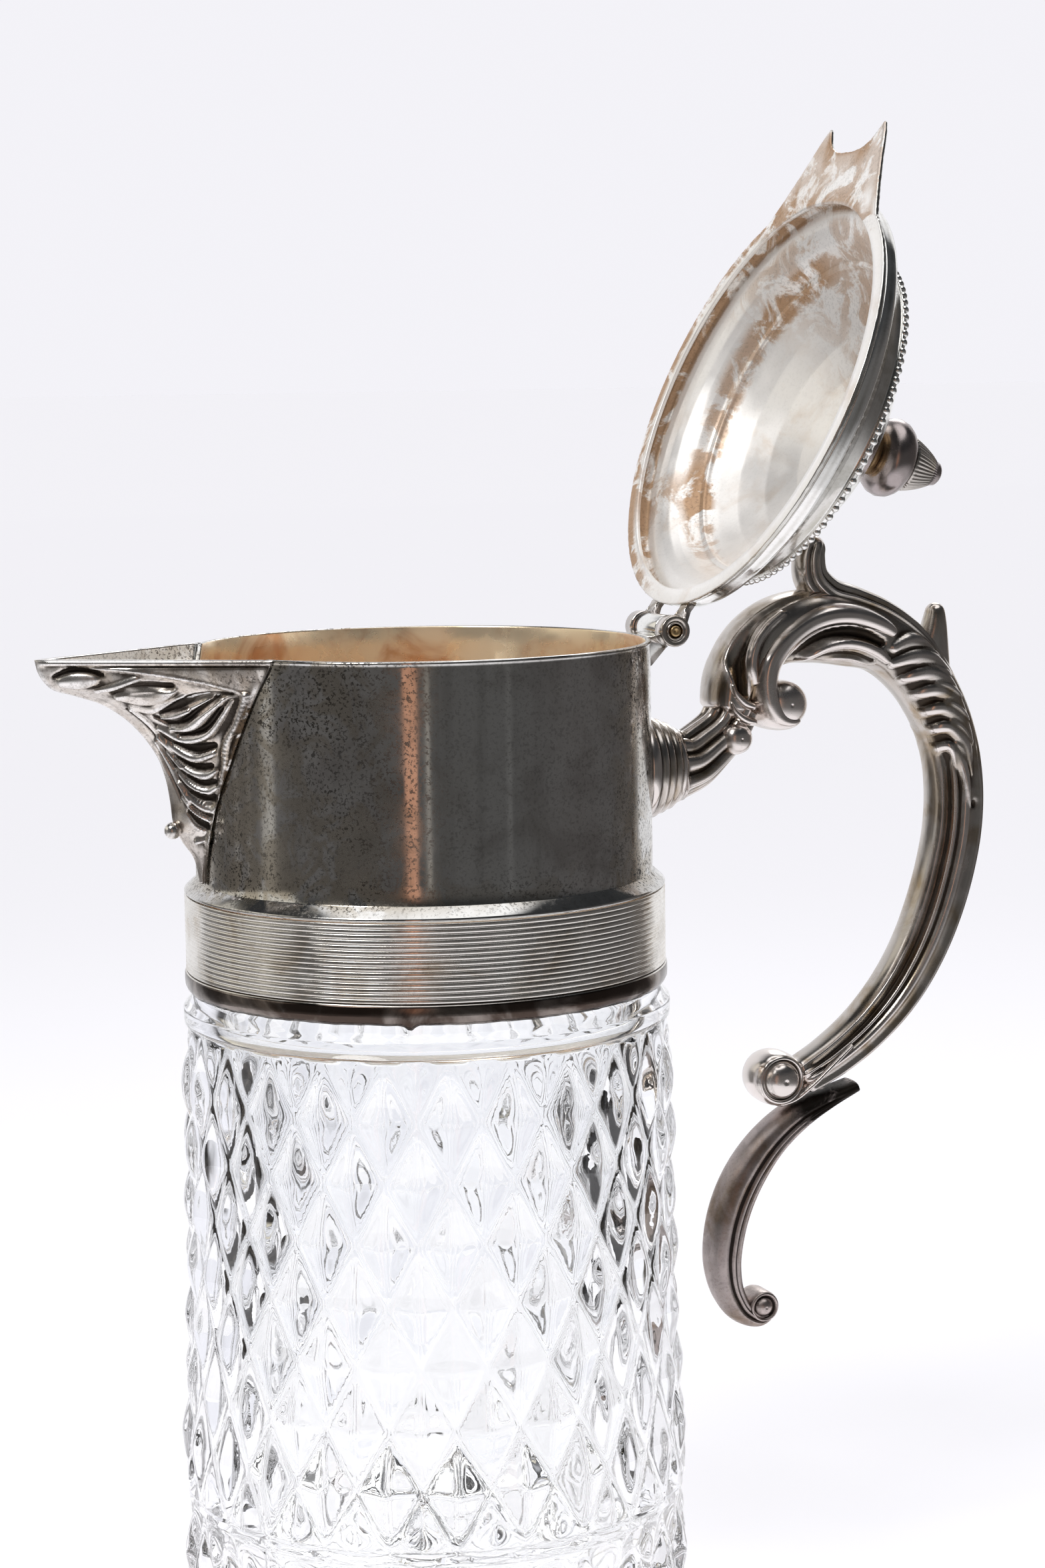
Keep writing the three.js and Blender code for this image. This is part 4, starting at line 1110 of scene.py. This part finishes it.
def floor_material():
    inputs = {"Base Color": (0.863, 0.856, 0.880, 1), "Roughness": 1.0}
    g = Graph(bpy.data.materials.new("pale_table"))
    return g.surface({**inputs, "Specular IOR Level": 0.0})


FLOOR = floor_material()
NEAR_FLOOR = 0.28
FLOOR_END = 60.0


def floor_disc(name, inner, outer, reflected):
    """Ring of plain pale floor. Metal and glass see it only if it is reflected."""
    angle, radii = circle(128), np.geomspace(inner, outer, 12)[:, None]
    points = np.stack([radii * np.cos(angle), radii * np.sin(angle), 0 * radii * angle], -1)
    vertices, faces = grid(points, wrap_cols=True)
    mesh = bpy.data.meshes.new(name)
    mesh.from_pydata(vertices.tolist(), [], faces.tolist())
    mesh.materials.append(FLOOR)
    floor = linked(name, mesh)
    floor.visible_glossy = reflected
    floor.visible_transmission = reflected


floor_disc("floor_near", 0.0005, NEAR_FLOOR, True)
floor_disc("floor_far", NEAR_FLOOR, FLOOR_END, False)

DARK_CEILING = (0.04, 0.042, 0.045)
BACKDROP = (0.9, 0.892, 0.935)
COPPER = (0.78, 0.42, 0.28)

# Walls of the set that metal and glass see: bearing in degrees, red, green, blue.
WALLS = numbers("""
    0 .11 .105 .105  22 .15 .135 .125  25 .18 .16 .14  28 .95 .95 .97
    60 .95 .95 .97  110 .9 .9 .93  116 .8 .8 .82  121 .16 .155 .155
    142 .17 .16 .155  144 .36 .34 .32  146 .17 .16 .155  152 .17 .16 .155
    154 .34 .32 .3  156 .16 .155 .155  162 .17 .16 .155  165 .5 .48 .45
    170 .5 .48 .45  173 .15 .145 .145  236 .112 .108 .106  251.5 .11 .108 .107
    252.5 .48 .45 .41  253.3 .48 .45 .41  254.3 .11 .108 .107  292 .108 .107 .107
    293.4 .19 .19 .19  295 .105 .104 .104  330 .11 .105 .105""", 4)


def studio_world():
    """
    Plain pale surroundings for the camera. Gloss and glass see a photographer's set: a white
    background behind, a soft light overhead and a dark room with a few lit strips in front.
    """
    world = bpy.data.worlds.new("studio")
    bpy.context.scene.world = world
    g = Graph(world)
    ray = g.node("TexCoord").outputs["Generated"]
    split = g.node("SeparateXYZ", {0: ray})
    bearing = g.math("ARCTAN2", split.outputs["Y"], split.outputs["X"])
    turn = g.math("FRACT", g.math("DIVIDE", bearing, 2 * math.pi))
    ramp = g.node("ValToRGB", {0: turn})
    band = ramp.color_ramp
    while len(band.elements) < len(WALLS):
        band.elements.new(0.5)
    for element, (bearing_at, *color) in zip(band.elements, WALLS):
        element.position = bearing_at / 360
        element.color = (*color, 1)
    up = split.outputs["Z"]
    degrees = g.times(turn, 360)
    half = g.ramp(up, -0.24, -0.08, 1.3, 3.6)
    copper = g.minus(half, g.math("ABSOLUTE", g.minus(degrees, 244.6)))
    room = g.mix(g.ramp(copper, -0.6, 0.9), ramp.outputs[0], COPPER)
    behind = g.between(degrees, 25, 28, 116, 121)
    top = g.add(g.times(behind, 0.3), 0.2)
    climb = g.math("DIVIDE", g.minus(up, top), 0.3, clamp=True)
    high = g.mix(climb, room, DARK_CEILING)
    side = g.between(degrees, 118, 124, 178, 184)
    side = g.times(side, g.between(up, 0.12, 0.2, 0.5, 0.62))
    high = g.mix(side, high, (0.8, 0.77, 0.7))
    overhead = g.mix(g.ramp(up, 0.84, 0.9), high, (1.5, 1.5, 1.52))
    low = g.mix(g.ramp(up, -0.25, -0.6), overhead, (0.7, 0.7, 0.72))
    path = g.node("LightPath")
    through = g.node("Gamma", {"Color": overhead, "Gamma": 2.2}).outputs[0]
    through = g.mix(1.0, through, (1.16, 1.16, 1.17), "MULTIPLY")
    seen = g.mix(path.outputs["Is Transmission Ray"], low, through)
    seen = g.mix(path.outputs["Is Camera Ray"], seen, BACKDROP)
    seen = g.mix(path.outputs["Is Diffuse Ray"], seen, (1.02, 1.02, 1.04))
    surface = g.node("Background", {"Color": seen, "Strength": 1.0})
    g.node("OutputWorld", {"Surface": surface.outputs[0]})


LAMP_TARGET = Vector((0.02, 0, 0.15))


def area_light(name, place, size, power):
    light = bpy.data.lights.new(name, "AREA")
    light.shape = "DISK"
    light.size = size
    light.energy = power
    light.spread = 64 * RAD
    lamp = linked(name, light)
    lamp.location = place
    lamp.rotation_euler = (LAMP_TARGET - Vector(place)).to_track_quat("-Z", "Y").to_euler()


studio_world()
area_light("key_soft", (-0.7, -0.35, 1.0), 0.5, 0.6)
area_light("rim_soft", (0.6, 0.9, 0.9), 0.6, 0.35)

# The camera stands a little left of the handle's side view, level with the open lid's hinge.
CAMERA_PLACE = Vector((-0.208711, -0.586886, 0.237140))
CAMERA_RIGHT = Vector((0.9309206, -0.36489802, -0.01537082))
CAMERA_UP = Vector((0.05850237, 0.1074429, 0.99248854))
CAMERA_AHEAD = Vector((0.36050562, 0.92482726, -0.12136821))
camera_data = bpy.data.cameras.new("camera")
camera_data.sensor_fit = "VERTICAL"
camera_data.sensor_height = 36.0
camera_data.lens = 76.55
camera_data.clip_end = 200
camera = linked("camera", camera_data)
turn = Matrix((CAMERA_RIGHT, CAMERA_UP, -CAMERA_AHEAD)).transposed()
camera.matrix_world = Matrix.Translation(CAMERA_PLACE) @ turn.to_4x4()

scene = bpy.context.scene
scene.camera = camera
scene.view_settings.view_transform = "Standard"
scene.cycles.use_denoising = True
scene.cycles.max_bounces = 20
scene.cycles.transmission_bounces = 20
scene.cycles.glossy_bounces = 8
